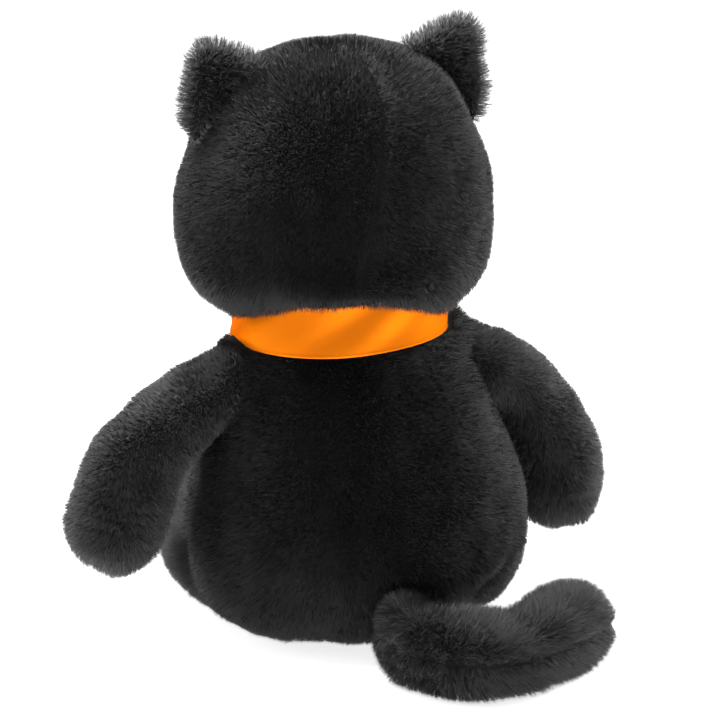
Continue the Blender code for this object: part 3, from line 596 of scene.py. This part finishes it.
def settle(piece):
    """The head's rim sags over the ribbon, and swells over it behind."""
    places = coordinates(piece.data)
    away, turn = round_neck(places)
    centres = np.linspace(-math.pi, math.pi, 49)
    lowest = []
    for centre in centres:
        off = np.abs(np.angle(np.exp(1j * (turn - centre))))
        lowest.append(places[(off < 0.16) & (away > 0.045), 2].min())
    drop = np.interp(turn, centres, lowest) - np.interp(turn, RIM_TURNS, RIM_HEIGHTS)
    rim = ramp(away, 0.043, 0.051) * ramp(places[:, 2], 0.200, 0.170)
    places[:, 2] -= drop * rim
    behind = bump(turn, 1.50, 0.62) * bump(places[:, 2], 0.168, 0.012) * ramp(away, 0.040, 0.046)
    places[:, 0] += RIM_SWELL * behind * np.cos(turn)
    places[:, 1] += RIM_SWELL * behind * np.sin(turn)
    set_coordinates(piece.data, places)


def stuffed(name, nodes, seams, shape, settled, hidden, body):
    """A filled skin over the CAD panels, swollen between its seams."""
    piece = skin(name, hull_of(nodes), BODY_VOXEL)
    puff(piece, seams)
    refine(piece)
    displaced(piece, shape)
    settled(piece)
    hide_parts(*nodes, *hidden)
    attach(piece, body)
    return piece


torso = stuffed(
    "torso_skin",
    TORSO_NODES,
    torso_seams,
    torso_shape,
    sit,
    ["torso_stuffing", "pellet_bag", "closing_stitches"],
    "torso",
)
head = stuffed(
    "head_skin",
    HEAD_NODES,
    head_seams,
    head_shape,
    settle,
    ["head_stuffing", "eye_washer_left", "eye_washer_right"],
    "head",
)


# ---------------------------------------------------------------- torso and head pile

TORSO_PILE = 0.0046
HEAD_PILE = 0.0042
NECK_RADIUS = 0.0535


def torso_style(places, normals):
    """Combed down and outwards, parted at the back and clipped at the seams and the fold."""
    count = len(places)
    comb = np.tile([0.0, 0.0, -1.0], (count, 1))
    comb[:, 0] += 0.35 * np.sign(places[:, 0]) * np.clip(np.abs(places[:, 0]) / 0.06, 0, 1)
    comb[:, 0] += 0.8 * np.sign(places[:, 0]) * bump(places[:, 0], 0, 0.006) * (places[:, 1] > 0)
    length = np.full(count, TORSO_PILE)
    length *= 1 - 0.35 * torso_seams(places)
    length *= 1 - 0.45 * bump(from_crease(places), 0, 0.0030)
    length *= 1 - 0.5 * ramp(places[:, 2], 0.010, 0.002)
    lean = np.full(count, 0.32)
    off_neck, _ = round_neck(places)
    right, high = places[:, 0] < 0, places[:, 2]
    by_ribbon = bump(off_neck, 0.057, 0.0045) * (places[:, 0] < -0.020) * (high > 0.134)
    length += 0.0032 * by_ribbon
    kept = (high < BAND_LOW.z - 0.001) | (right & (off_neck > NECK_RADIUS) & (high < 0.156))
    kept &= ~((places[:, 0] > 0) & (high > BAND_LOW.z - 0.0055) & (off_neck < NECK_RADIUS + 0.003))
    kept &= (normals[:, 2] > -0.92) | (np.random.default_rng(5).random(count) < 0.35)
    return length, lean, comb, kept


PART_AT_RIM = 0.0115
PART_LEANS = 0.0135
EYE_BARE = 0.0088
EYE_EDGE = 0.009


def head_style(places, normals):
    """Combed away from the crown behind and from the nose in front, parted at the back seam."""
    crown = np.array([0.0, HEAD_SEAM_Y - 0.010, HEAD_TOP_Z + 0.010])
    face = ramp(places[:, 1], HEAD_SEAM_Y - 0.012, HEAD_SEAM_Y - 0.042)
    comb = unit(places - crown) * (1 - face)[:, None] + unit(places - NOSE_AT) * face[:, None]
    comb[:, 2] -= 0.3
    length = np.full(len(places), HEAD_PILE)
    behind = ramp(places[:, 1], HEAD_SEAM_Y, HEAD_SEAM_Y + 0.02) * ramp(places[:, 2], 0.170, 0.178)
    off = places[:, 0] - PART_AT_RIM + PART_LEANS * np.clip((places[:, 2] - 0.175) / 0.070, 0, 1.2)
    parted = bump(off, 0, 0.0045) * behind
    length *= 1 - 0.70 * bump(off, 0, 0.0015) * behind
    comb[:, 0] += 1.6 * np.sign(off) * parted
    length *= 1 - 0.22 * face
    low = ramp(places[:, 2], 0.176, 0.166)
    comb[:, 2] -= 0.8 * low
    length *= 1 + 0.40 * low * (1 - face)
    lean = 0.30 + 0.35 * low + 0.50 * face + 0.35 * parted
    inside = np.hypot(places[:, 0], places[:, 1] - NECK.y) < 0.043
    kept = ~(inside & (places[:, 2] < 0.168))
    for word in SIDES:
        off_eye = places - np.array(centre_of("eye_" + word))
        away = np.linalg.norm(off_eye, axis=1)
        kept &= away > EYE_BARE
        comb += off_eye * (120 * bump(away, EYE_EDGE, 0.007))[:, None]
        length *= 1 - 0.4 * bump(away, EYE_EDGE, 0.006)
    return length, lean, comb, kept


pile("torso_pile", torso, "torso", torso_style, 101)
pile("head_pile", head, "head", head_style, 102, finish=HEAD_FUR_PAINTED_LIGHT, lift=0.42)


# ---------------------------------------------------------------- limbs

TAIL_Z = 0.0195
ARM_LINE = (
    (0.0645, 0, 0.1215),
    (0.083, -0.002, 0.115),
    (0.100, -0.003, 0.099),
    (0.111, -0.004, 0.077),
    (0.115, -0.0045, 0.035),
)
LEG_LINE = (
    (0.0555, -0.024, 0.026),
    (0.0485, -0.054, 0.026),
    (0.0425, -0.084, 0.026),
    (0.039, -0.114, 0.026),
    (0.037, -0.150, 0.026),
)
TAIL_LINE = (
    (0, 0.072, TAIL_Z),
    (0.007, 0.089, TAIL_Z),
    (0.0085, 0.105, TAIL_Z),
    (0, 0.118, TAIL_Z),
    (-0.018, 0.124, TAIL_Z),
    (-0.040, 0.121, TAIL_Z),
    (-0.059, 0.112, TAIL_Z),
    (-0.090, 0.088, TAIL_Z),
)


def limb_line(points, side=1):
    return [Vector((side * x, y, z)) for x, y, z in points]


def limb_style(line, length_at, lean, drop):
    """Combed along the limb, and a little downwards."""
    field = along_line(line)

    def style(places, normals):
        ways, shares = field(places)
        comb = ways + np.array([0, 0, -drop])
        return length_at(shares), lean - 0.10 * shares, comb, np.ones(len(places), bool)

    return style


def arm_length(shares):
    """Longer over the outer half."""
    return 0.0038 + 0.0022 * np.clip(shares * 2 - 1, 0, 1)


def leg_length(shares):
    return np.full(len(shares), 0.0046)


def tail_length(shares):
    return 0.0062 + 0.0010 * shares


def arm_shape(places, normals):
    """Fuller over the shoulder, slimmer along the outer side, longer or shorter at the end."""
    side = np.sign(places[:, 0])
    is_left = side > 0
    up = np.clip(normals[:, 2], 0, 1)
    outer = np.clip(normals[:, 0] * side * 0.8 + normals[:, 2] * 0.6, 0, 1)
    shoulder = np.where(is_left, 0.0030, 0.0050) * bump(np.abs(places[:, 0]), 0.055, 0.012) * up
    along = bump(places[:, 2], np.where(is_left, 0.126, 0.110), np.where(is_left, 0.017, 0.026))
    trim = np.where(is_left, 0.0052, 0.0048) * along * outer
    forearm = bump(places[:, 2], 0.062, 0.018) * np.clip(normals[:, 0] * side, 0, 1)
    forearm *= np.where(is_left, 0.0006, 0.0)
    end = np.clip(-normals[:, 2], 0, 1) * ramp(places[:, 2], 0.060, 0.040)
    return shoulder - trim + forearm + np.where(is_left, -0.0024, 0.0032) * end


def leg_shape(places, normals):
    """The thighs are squashed wider, the left one high up and less near the floor."""
    side = np.sign(places[:, 0])
    outer = np.clip(normals[:, 0] * side + normals[:, 1] * 0.4, 0, 1)
    thigh = bump(places[:, 1], -0.030, 0.035) * outer
    left = 0.0052 * bump(places[:, 2], 0.036, 0.011) - 0.0055 * bump(places[:, 2], 0.009, 0.011)
    return np.where(side > 0, left, 0.0020) * thigh


def tail_shape(places, normals):
    """Slimmer at the outer side of its root, on top of its bend and at its tip."""
    outer = np.clip(normals[:, 0] * 0.85 + normals[:, 1] * 0.5, 0, 1)
    root = bump(places[:, 0], 0.020, 0.020) * outer
    bend = bump(places[:, 0], -0.036, 0.016) * np.clip(normals[:, 2], 0, 1)
    tip = bump(places[:, 0], -0.092, 0.010) * np.clip(-normals[:, 0], 0, 1)
    return -0.0090 * root - 0.0062 * bend - 0.0014 * tip


def parted_tail(style):
    """The pile parts along the tail's side seam."""

    def parted(places, normals):
        length, lean, comb, kept = style(places, normals)
        off = places[:, 2] - TAIL_Z
        at_side = np.abs(normals[:, 2]) < 0.6
        near = bump(off, 0, 0.0035) * at_side
        length = length * (1 - 0.65 * bump(off, 0, 0.0018) * at_side)
        comb = comb + np.array(UP) * (2.6 * near * np.sign(off))[:, None]
        return length, lean + 0.25 * near, comb, kept

    return parted


RING_SPACING = 0.0060


def ringed(style):
    """Faint rings where the left forearm is squeezed."""

    def rings(places, normals):
        length, lean, comb, kept = style(places, normals)
        along = places[:, 2] - 0.25 * places[:, 0]
        squeezed = bump(along, 0.038, 0.011) * (places[:, 0] > 0)
        wave = np.clip(np.sin(along * 2 * math.pi / RING_SPACING), 0, 1)
        return length * (1 - 0.45 * squeezed * wave), lean, comb, kept

    return rings


def make_limb(name, nodes, style, seed, shape, **pile_looks):
    """A limb's skin and pile, which ride the body of the same name."""
    piece = skin(name + "_skin", joined(nodes), LIMB_VOXEL, 8)
    refine(piece)
    displaced(piece, lambda p, n: shape(p, n) + 0.0008 * waves(p, seed, 0.035))
    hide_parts(*nodes)
    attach(piece, name)
    pile(name + "_pile", piece, name, style, seed, **pile_looks)


for word, side in SIDES.items():
    make_limb(
        "arm_" + word,
        [f"arm_back_{word}", f"arm_front_{word}", f"arm_stuffing_{word}"],
        ringed(limb_style(limb_line(ARM_LINE, side), arm_length, 0.50, 0.2)),
        200 + side,
        arm_shape,
        finish=ARM_FUR_PAINTED_LIGHT,
        fluff=0.25,
        lift=0.25,
    )
    make_limb(
        "leg_" + word,
        [f"leg_upper_{word}", f"leg_lower_{word}", f"leg_stuffing_{word}"],
        limb_style(limb_line(LEG_LINE, side), leg_length, 0.50, 0.2),
        210 + side,
        leg_shape,
    )
make_limb(
    "tail",
    ["tail_upper", "tail_lower", "tail_stuffing"],
    parted_tail(limb_style(limb_line(TAIL_LINE), tail_length, 0.60, 0.1)),
    220,
    tail_shape,
    finish=TAIL_FUR_PAINTED_LIGHT,
    fluff=0.25,
)


# ---------------------------------------------------------------- ears

EAR_MIDDLE_X = 0.0465
EAR_SHIFT = {"left": (0.0011, 0, -0.0039), "right": (0.0005, 0, 0.0004)}
EAR_FOOT_DROP = {"left": 0.0020, "right": 0.0085}
EAR_OUTER_SWELL = {"left": 0.0026, "right": 0.0038}
EAR_INNER_SWELL = 0.0075
CLIPPED_BELOW = {"left": 0.2475, "right": 0.2300}


def shape_ear(ear, word, side):
    """The ear leans into the head inside, and its outer side swells and hangs lower."""
    places = coordinates(ear.data) + np.array(EAR_SHIFT[word])
    spread = (places[:, 0] - EAR_MIDDLE_X * side) * side
    outer = np.clip(spread / 0.006, 0, 1)
    inner = np.clip(-spread / 0.012, 0, 1)
    places[:, 2] -= EAR_FOOT_DROP[word] * outer * bump(places[:, 2], 0.242, 0.008)
    places[:, 0] += side * EAR_OUTER_SWELL[word] * bump(places[:, 2], 0.252, 0.014) * outer
    places[:, 0] -= side * EAR_INNER_SWELL * bump(places[:, 2], 0.266, 0.014) * inner
    set_coordinates(ear.data, places)


def ear_style(node, side, clipped_below):
    """Combed to the tip and outwards, longest round the edge and clipped at the foot."""
    low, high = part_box(node)
    base = np.array([(low.x + high.x) / 2 - side * 0.006, (low.y + high.y) / 2, low.z])
    rise = np.array([high.x if side > 0 else low.x, base[1], high.z]) - base

    def style(places, normals):
        comb = np.tile(rise * 0.35, (len(places), 1)) + (places - base) * 1.2
        height = np.clip((places - base) @ rise / (rise @ rise), 0, 1)
        edge = 1 - np.abs(normals[:, 1])
        length = 0.0058 + 0.0052 * edge * (1 - 0.6 * height)
        length *= 1 - 0.65 * ramp(places[:, 2], clipped_below, clipped_below - 0.005)
        return length, 0.45 - 0.15 * edge, comb, np.ones(len(places), bool)

    return style


for word, side in SIDES.items():
    nodes = [f"ear_back_{word}", f"ear_front_{word}"]
    ear = skin(f"ear_{word}_skin", hull_of(nodes), EAR_VOXEL)
    refine(ear)
    shape_ear(ear, word, side)
    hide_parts(*nodes)
    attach(ear, "head")
    style = ear_style(nodes[0], side, CLIPPED_BELOW[word])
    pile(f"ear_{word}_pile", ear, "head", style, 300 + side, fluff=0.20, finish=EAR_FUR_PAINTED_LIGHT, lift=0.9)


# ---------------------------------------------------------------- muzzle, nose and mouth


def smoothed(node, finish, levels):
    """A CAD node that keeps its shape and gets a finer surface and a finish."""
    piece = NODES[node]
    subdivide = piece.modifiers.new("subdivide", "SUBSURF")
    subdivide.levels = subdivide.render_levels = levels
    wear(piece, finish)


def small_pad(name, node, smooth, body):
    """A filled skin over one small CAD solid."""
    piece = skin(name, joined([node]), TRIM_VOXEL, smooth)
    refine(piece)
    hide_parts(node)
    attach(piece, body)
    return piece


NOSE_BARE = 0.0070
MUZZLE_BACK_Y = -0.052


def muzzle_style(places, normals):
    """Short, combed away from the nose, and shorter still beside the mouth."""
    comb = places - NOSE_AT
    off_nose = np.linalg.norm(comb * [1.0, 0.6, 1.35], axis=1)
    off_mouth = np.abs(places[:, 2] - MOUTH_AT[2])
    length = 0.0030 * np.clip(off_mouth / 0.006, 0.35, 1)
    kept = (off_nose > NOSE_BARE) & (places[:, 1] < MUZZLE_BACK_Y)
    return length, np.full(len(places), 0.95), comb, kept


muzzle = small_pad("muzzle_skin", "muzzle_pad", 5, "head")
pile("muzzle_pile", muzzle, "head", muzzle_style, 320)
smoothed("nose", NOSE, 2)
for node in ("lip_stitch", "mouth_stitches"):
    smoothed(node, THREAD, 1)


# ---------------------------------------------------------------- eyes

EYE_RADIUS = 0.0070
EYE_DOME = 0.0044
POST_TO_SEAT = 0.0092
POST_LENGTH = 0.003
PUPIL_HALF = (0.0024, 0.0052)
PUPIL_LIFT = 0.00012
DOME_RINGS, DOME_AROUND = 12, 48


def dome(name, out, centre, half, lift, finish):
    """A cap, or an oval on it, that follows the eye's dome."""
    across = out.cross(UP).normalized()
    upward = across.cross(out).normalized()
    bm = bmesh.new()
    rows = []
    for i in range(1, DOME_RINGS + 1):
        share = math.sin(math.pi / 2 * i / DOME_RINGS)
        row = []
        for k in range(DOME_AROUND):
            angle = 2 * math.pi * k / DOME_AROUND
            x, y = half[0] * share * math.cos(angle), half[1] * share * math.sin(angle)
            rise = EYE_DOME * math.sqrt(max(1 - (x * x + y * y) / EYE_RADIUS ** 2, 0.0))
            row.append(bm.verts.new(centre + across * x + upward * y + out * (rise + lift)))
        rows.append(row)
    top = bm.verts.new(centre + out * (EYE_DOME + lift))
    for k in range(DOME_AROUND):
        n = (k + 1) % DOME_AROUND
        bm.faces.new((top, rows[0][k], rows[0][n]))
        for inner, outer in zip(rows, rows[1:]):
            bm.faces.new((inner[k], outer[k], outer[n], inner[n]))
    piece = mesh_object(name, to_mesh(name, bm), finish)
    piece.data.shade_smooth()
    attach(piece, "head")
    return piece


def eye_seat(node):
    """Where an eye's dome starts, and the way that it looks, from its post and its front."""
    verts = coordinates(NODES[node].data)
    post = verts[verts[:, 1] > verts[:, 1].max() - POST_LENGTH].mean(0)
    front = verts[np.argmax(np.linalg.norm(verts - post, axis=1))]
    out = Vector(front - post).normalized()
    return Vector(post) + out * POST_TO_SEAT, out


for word in SIDES:
    seat, out = eye_seat("eye_" + word)
    eye = dome(f"eye_{word}_dome", out, seat, (EYE_RADIUS, EYE_RADIUS), 0.0, AMBER)
    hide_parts("eye_" + word)
    dome(f"eye_{word}_pupil", out, seat, PUPIL_HALF, PUPIL_LIFT, PUPIL)


# ---------------------------------------------------------------- soles


def sole_style(centre):
    """Short, combed away from the sole's middle, and none at its back."""

    def style(places, normals):
        count = len(places)
        return np.full(count, 0.0026), np.full(count, 0.9), places - centre, normals[:, 1] < 0.2

    return style


for word in SIDES:
    pad = small_pad(f"sole_{word}_skin", f"sole_pad_{word}", 4, "leg_" + word)
    style = sole_style(np.array(centre_of(f"sole_pad_{word}")))
    pile(f"sole_{word}_pile", pad, "leg_" + word, style, 330, slot="sole_plush", finish=SOLE)


# ---------------------------------------------------------------- ribbon and bow


SATIN_THICKNESS = 0.0005


def surface(name, rows, closed=False):
    """A thin sheet through rows of points."""
    bm = bmesh.new()
    made = [[bm.verts.new(p) for p in row] for row in rows]
    count = len(made[0])
    for lower, upper in zip(made, made[1:]):
        for k in range(count if closed else count - 1):
            n = (k + 1) % count
            bm.faces.new((lower[k], lower[n], upper[n], upper[k]))
    bmesh.ops.recalc_face_normals(bm, faces=bm.faces)
    piece = mesh_object(name, to_mesh(name, bm), SATIN)
    body = piece.modifiers.new("thickness", "SOLIDIFY")
    body.thickness = SATIN_THICKNESS
    body.offset = 0
    apply_modifiers(piece)
    piece.data.shade_smooth()
    return piece


def finish_sheet(piece, node):
    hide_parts(node)
    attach(piece, "torso")


def across_shares(steps):
    """Places across a sheet's width, from -1 at one edge to 1 at the other."""
    return [(k / steps - 0.5) * 2 for k in range(steps + 1)]


BAND_WIDE = BAND_HIGH.z - BAND_LOW.z
LOW_RADIUS = (BAND_HIGH.x - BAND_LOW.x) / 2 - 0.0003
TOP_RADIUS = LOW_RADIUS - 0.0044
BAND_SHIFT_X = 0.0008
CORD_HEIGHT = 0.00028
CORD_STRANDS = 150
EDGES = (0.0, 0.012, 0.030, 0.050, 0.070)
SHARES = list(EDGES) + [0.07 + 0.86 * i / 18 for i in range(1, 18)] + [1 - e for e in EDGES[::-1]]
AROUND = 600


def band_point(angle, share):
    """The ribbon round the neck, a little slack, with a corded edge, and lower at its left."""
    slack = 0.00075 * math.sin(2 * angle + 1.0 + 2.2 * share)
    slack += 0.00070 * math.sin(6 * angle - 3.4 * share)
    slack += 0.00045 * math.sin(10 * angle - 5.0 * share + 1.2)
    slack *= math.sin(math.pi * share) ** 0.6
    from_edge = min(share, 1 - share)
    cord = CORD_HEIGHT * math.exp(-(((from_edge - 0.030) / 0.016) ** 2))
    cord *= 1 + 0.35 * math.sin(angle * CORD_STRANDS)
    at_left = max(math.cos(angle - 0.35), 0.0) ** 2
    radius = LOW_RADIUS + (TOP_RADIUS - LOW_RADIUS) * share + slack + cord
    radius += 0.0014 * at_left * (1 - share)
    height = BAND_LOW.z + BAND_WIDE * share + 0.0006 * math.sin(3 * angle + 0.6) - 0.0036 * at_left
    middle = NECK.x + BAND_SHIFT_X
    return Vector((middle + radius * math.cos(angle), NECK.y + radius * math.sin(angle), height))


TURNS = [2 * math.pi * k / AROUND for k in range(AROUND)]
band = surface("ribbon", [[band_point(angle, share) for angle in TURNS] for share in SHARES], True)
finish_sheet(band, "ribbon_band")

KNOT_LOW, KNOT_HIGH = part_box("bow_knot")
KNOT = (KNOT_LOW + KNOT_HIGH) / 2
KNOT_HALF = (KNOT_HIGH - KNOT_LOW) / 2
KNOT_AROUND = 64


def knot_row(across):
    """One ring of the knot, which is thickest in the middle and pleated along."""
    row = []
    for k in range(KNOT_AROUND):
        angle = 2 * math.pi * k / KNOT_AROUND
        swell = (1 - 0.30 * across ** 4) * (1 + 0.045 * math.sin(across * 9 + 1.5 * math.sin(angle)))
        x = KNOT.x + KNOT_HALF.x * 0.92 * across
        y = KNOT.y + KNOT_HALF.y * 0.92 * swell * math.sin(angle)
        z = KNOT.z + KNOT_HALF.z * 0.94 * swell * math.cos(angle)
        row.append(Vector((x, y, z)))
    return row


knot = surface("ribbon_knot", [knot_row(across) for across in across_shares(24)], True)
finish_sheet(knot, "bow_knot")

LOOP_STEPS = 72
LOOP_PINCH = 0.0055
LOOP_FLARE = 0.022
TAIL_STEPS = 48


def loop_rows(side, low, high):
    """A bow loop: out from the knot and back, pleated where the knot grips it."""
    start = KNOT_HALF.x - 0.002
    reach_to = (high.x if side > 0 else -low.x) - 0.0035
    deep = (high.y - low.y) / 2 - 0.0006
    rows = []
    for i in range(LOOP_STEPS + 1):
        angle = math.pi * 2 * (i / LOOP_STEPS - 0.5) * 0.97
        outward = 0.5 + 0.5 * math.cos(angle)
        reach = start + (reach_to - start) * outward ** 0.8
        swell = deep * math.sin(angle) * (0.20 + 0.80 * outward ** 0.6)
        spread = min((reach - start) / LOOP_FLARE, 1.0)
        flare = math.sin(spread * math.pi / 2) ** 1.2
        half = LOOP_PINCH + ((high.z - low.z) / 2 - LOOP_PINCH) * flare
        row = []
        for across in across_shares(16):
            pleat = 0.0011 * (1 - spread) * math.cos(across * 7.0)
            pleat += 0.0005 * math.sin(across * 3 + reach * 90)
            x = KNOT.x + side * (reach - 0.0012 * across * across * outward)
            y = (low.y + high.y) / 2 + swell + pleat * math.copysign(1, angle)
            z = KNOT.z + half * across + 0.0012 * outward * math.sin(2 * angle)
            row.append(Vector((x, y, z)))
        rows.append(row)
    return rows


def tail_rows(side, low, high):
    """A ribbon end that falls from the knot over the chest, with a slanted cut."""
    outer = high.x if side > 0 else -low.x
    top = KNOT_LOW.z + 0.002
    knot_y = KNOT.y + 0.0005
    rows = []
    for i in range(TAIL_STEPS + 1):
        t = i / TAIL_STEPS
        middle = 0.0040 + (outer - 0.0115) * t
        half = 0.0036 + 0.0052 * min(t * 2.2, 1.0)
        height = top - (top - low.z - 0.004) * t
        fall = eased(min(t / 0.40, 1.0))
        row = []
        for across in across_shares(12):
            ripple = 0.0010 * math.sin(across * 4 + t * 9) * (1 - 0.4 * t)
            z = height + 0.0045 * across * t
            x = max(middle + half * across, 0.0006)
            y = knot_y + (min(chest_at(x, z) - 0.0066, knot_y + 0.004) - knot_y) * fall
            row.append(Vector((side * x, y + ripple, z)))
        rows.append(row)
    return rows


TORSO_TREE = BVHTree.FromObject(torso, bpy.context.evaluated_depsgraph_get())


def chest_at(x, z):
    """How far forward the chest, or the ribbon round the neck, reaches."""
    hit = TORSO_TREE.ray_cast(Vector((x, -0.3, min(z, BAND_LOW.z))), Vector((0, 1, 0)))[0]
    return hit.y if hit else NECK.y - LOW_RADIUS


for word, side in SIDES.items():
    low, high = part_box("bow_loop_" + word)
    loop = surface("ribbon_loop_" + word, loop_rows(side, low, high))
    finish_sheet(loop, "bow_loop_" + word)
    low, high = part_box("bow_tail_" + word)
    end = surface("ribbon_end_" + word, tail_rows(side, low, high))
    finish_sheet(end, "bow_tail_" + word)


# ---------------------------------------------------------------- stage


def make_floor():
    """A plain pale floor, a little bright by itself so that it meets the white surround."""
    half = 6
    corners = [(-half, -half, 0), (half, -half, 0), (half, half, 0), (-half, half, 0)]
    mesh = bpy.data.meshes.new("floor")
    mesh.from_pydata(corners, [], [(0, 1, 2, 3)])
    white = new_material(
        "floor_white",
        (0.85, 0.85, 0.85),
        0.95,
        Specular_IOR_Level=0.1,
        Emission_Color=(1, 1, 1, 1),
        Emission_Strength=0.80,
    )
    mesh_object("floor", mesh, white)


DIM_SIDE = (0.361, 0.893, 0.1)


def make_world():
    """A white surround, dimmer on the side of the cat's back."""
    world = bpy.data.worlds.new("studio")
    bpy.context.scene.world = world
    world.use_nodes = True
    nodes, links = world.node_tree.nodes, world.node_tree.links
    surround = nodes["Background"]
    surround.inputs["Color"].default_value = (1, 1, 1, 1)
    facing = nodes.new("ShaderNodeTexCoord")
    towards = nodes.new("ShaderNodeVectorMath")
    towards.operation = "DOT_PRODUCT"
    towards.inputs[1].default_value = DIM_SIDE
    grade = nodes.new("ShaderNodeMapRange")
    grade.inputs["From Min"].default_value = -0.2
    grade.inputs["From Max"].default_value = 0.9
    grade.inputs["To Min"].default_value = 1.0
    grade.inputs["To Max"].default_value = 0.24
    links.new(facing.outputs["Generated"], towards.inputs[0])
    links.new(towards.outputs["Value"], grade.inputs["Value"])
    links.new(grade.outputs["Result"], surround.inputs["Strength"])


def placed(name, data, place, way):
    """A lamp or a camera at a place, looking one way."""
    made = bpy.data.objects.new(name, data)
    bpy.context.scene.collection.objects.link(made)
    made.location = place
    made.rotation_mode = "QUATERNION"
    made.rotation_quaternion = way.to_track_quat("-Z", "Y")
    return made


def area_light(name, place, power):
    data = bpy.data.lights.new(name, "AREA")
    data.shape = "DISK"
    data.size = 0.7
    data.energy = power
    return placed(name, data, place, AIM - place)


def keep_off(lamp, piece):
    """A flag between a lamp and one piece."""
    shaded = bpy.data.collections.new(lamp.name + "_flag")
    shaded.objects.link(piece)
    lamp.light_linking.receiver_collection = shaded
    shaded.collection_objects[0].light_linking.link_state = "EXCLUDE"


CAMERA_TURN = math.radians(158)
CAMERA_RISE = math.radians(15.5)
CAMERA_FAR = 1.5
BACK = Vector(
    (
        math.sin(CAMERA_TURN) * math.cos(CAMERA_RISE),
        -math.cos(CAMERA_TURN) * math.cos(CAMERA_RISE),
        math.sin(CAMERA_RISE),
    )
)
RIGHT = Vector((math.cos(CAMERA_TURN), math.sin(CAMERA_TURN), 0))
TOP = BACK.cross(RIGHT)
AIM = Vector((0, 0, 0.130)) + RIGHT * 0.0067 - TOP * 0.0014

scene = bpy.context.scene
scene.view_settings.view_transform = "Standard"
make_floor()
make_world()
area_light("key", AIM + BACK * 0.25 + TOP * 1.3 - RIGHT * 0.35, 30)
rim_left = area_light("rim_left", AIM - BACK * 0.2 + TOP * 0.3 - RIGHT * 1.2, 7)
rim_right = area_light("rim_right", AIM - BACK * 0.3 + TOP * 0.6 + RIGHT * 1.1, 12)
keep_off(rim_left, band)
keep_off(rim_right, band)
lens = bpy.data.cameras.new("camera")
lens.lens = 156.2
lens.sensor_width = 36
scene.camera = placed("camera", lens, AIM + BACK * CAMERA_FAR, -BACK)
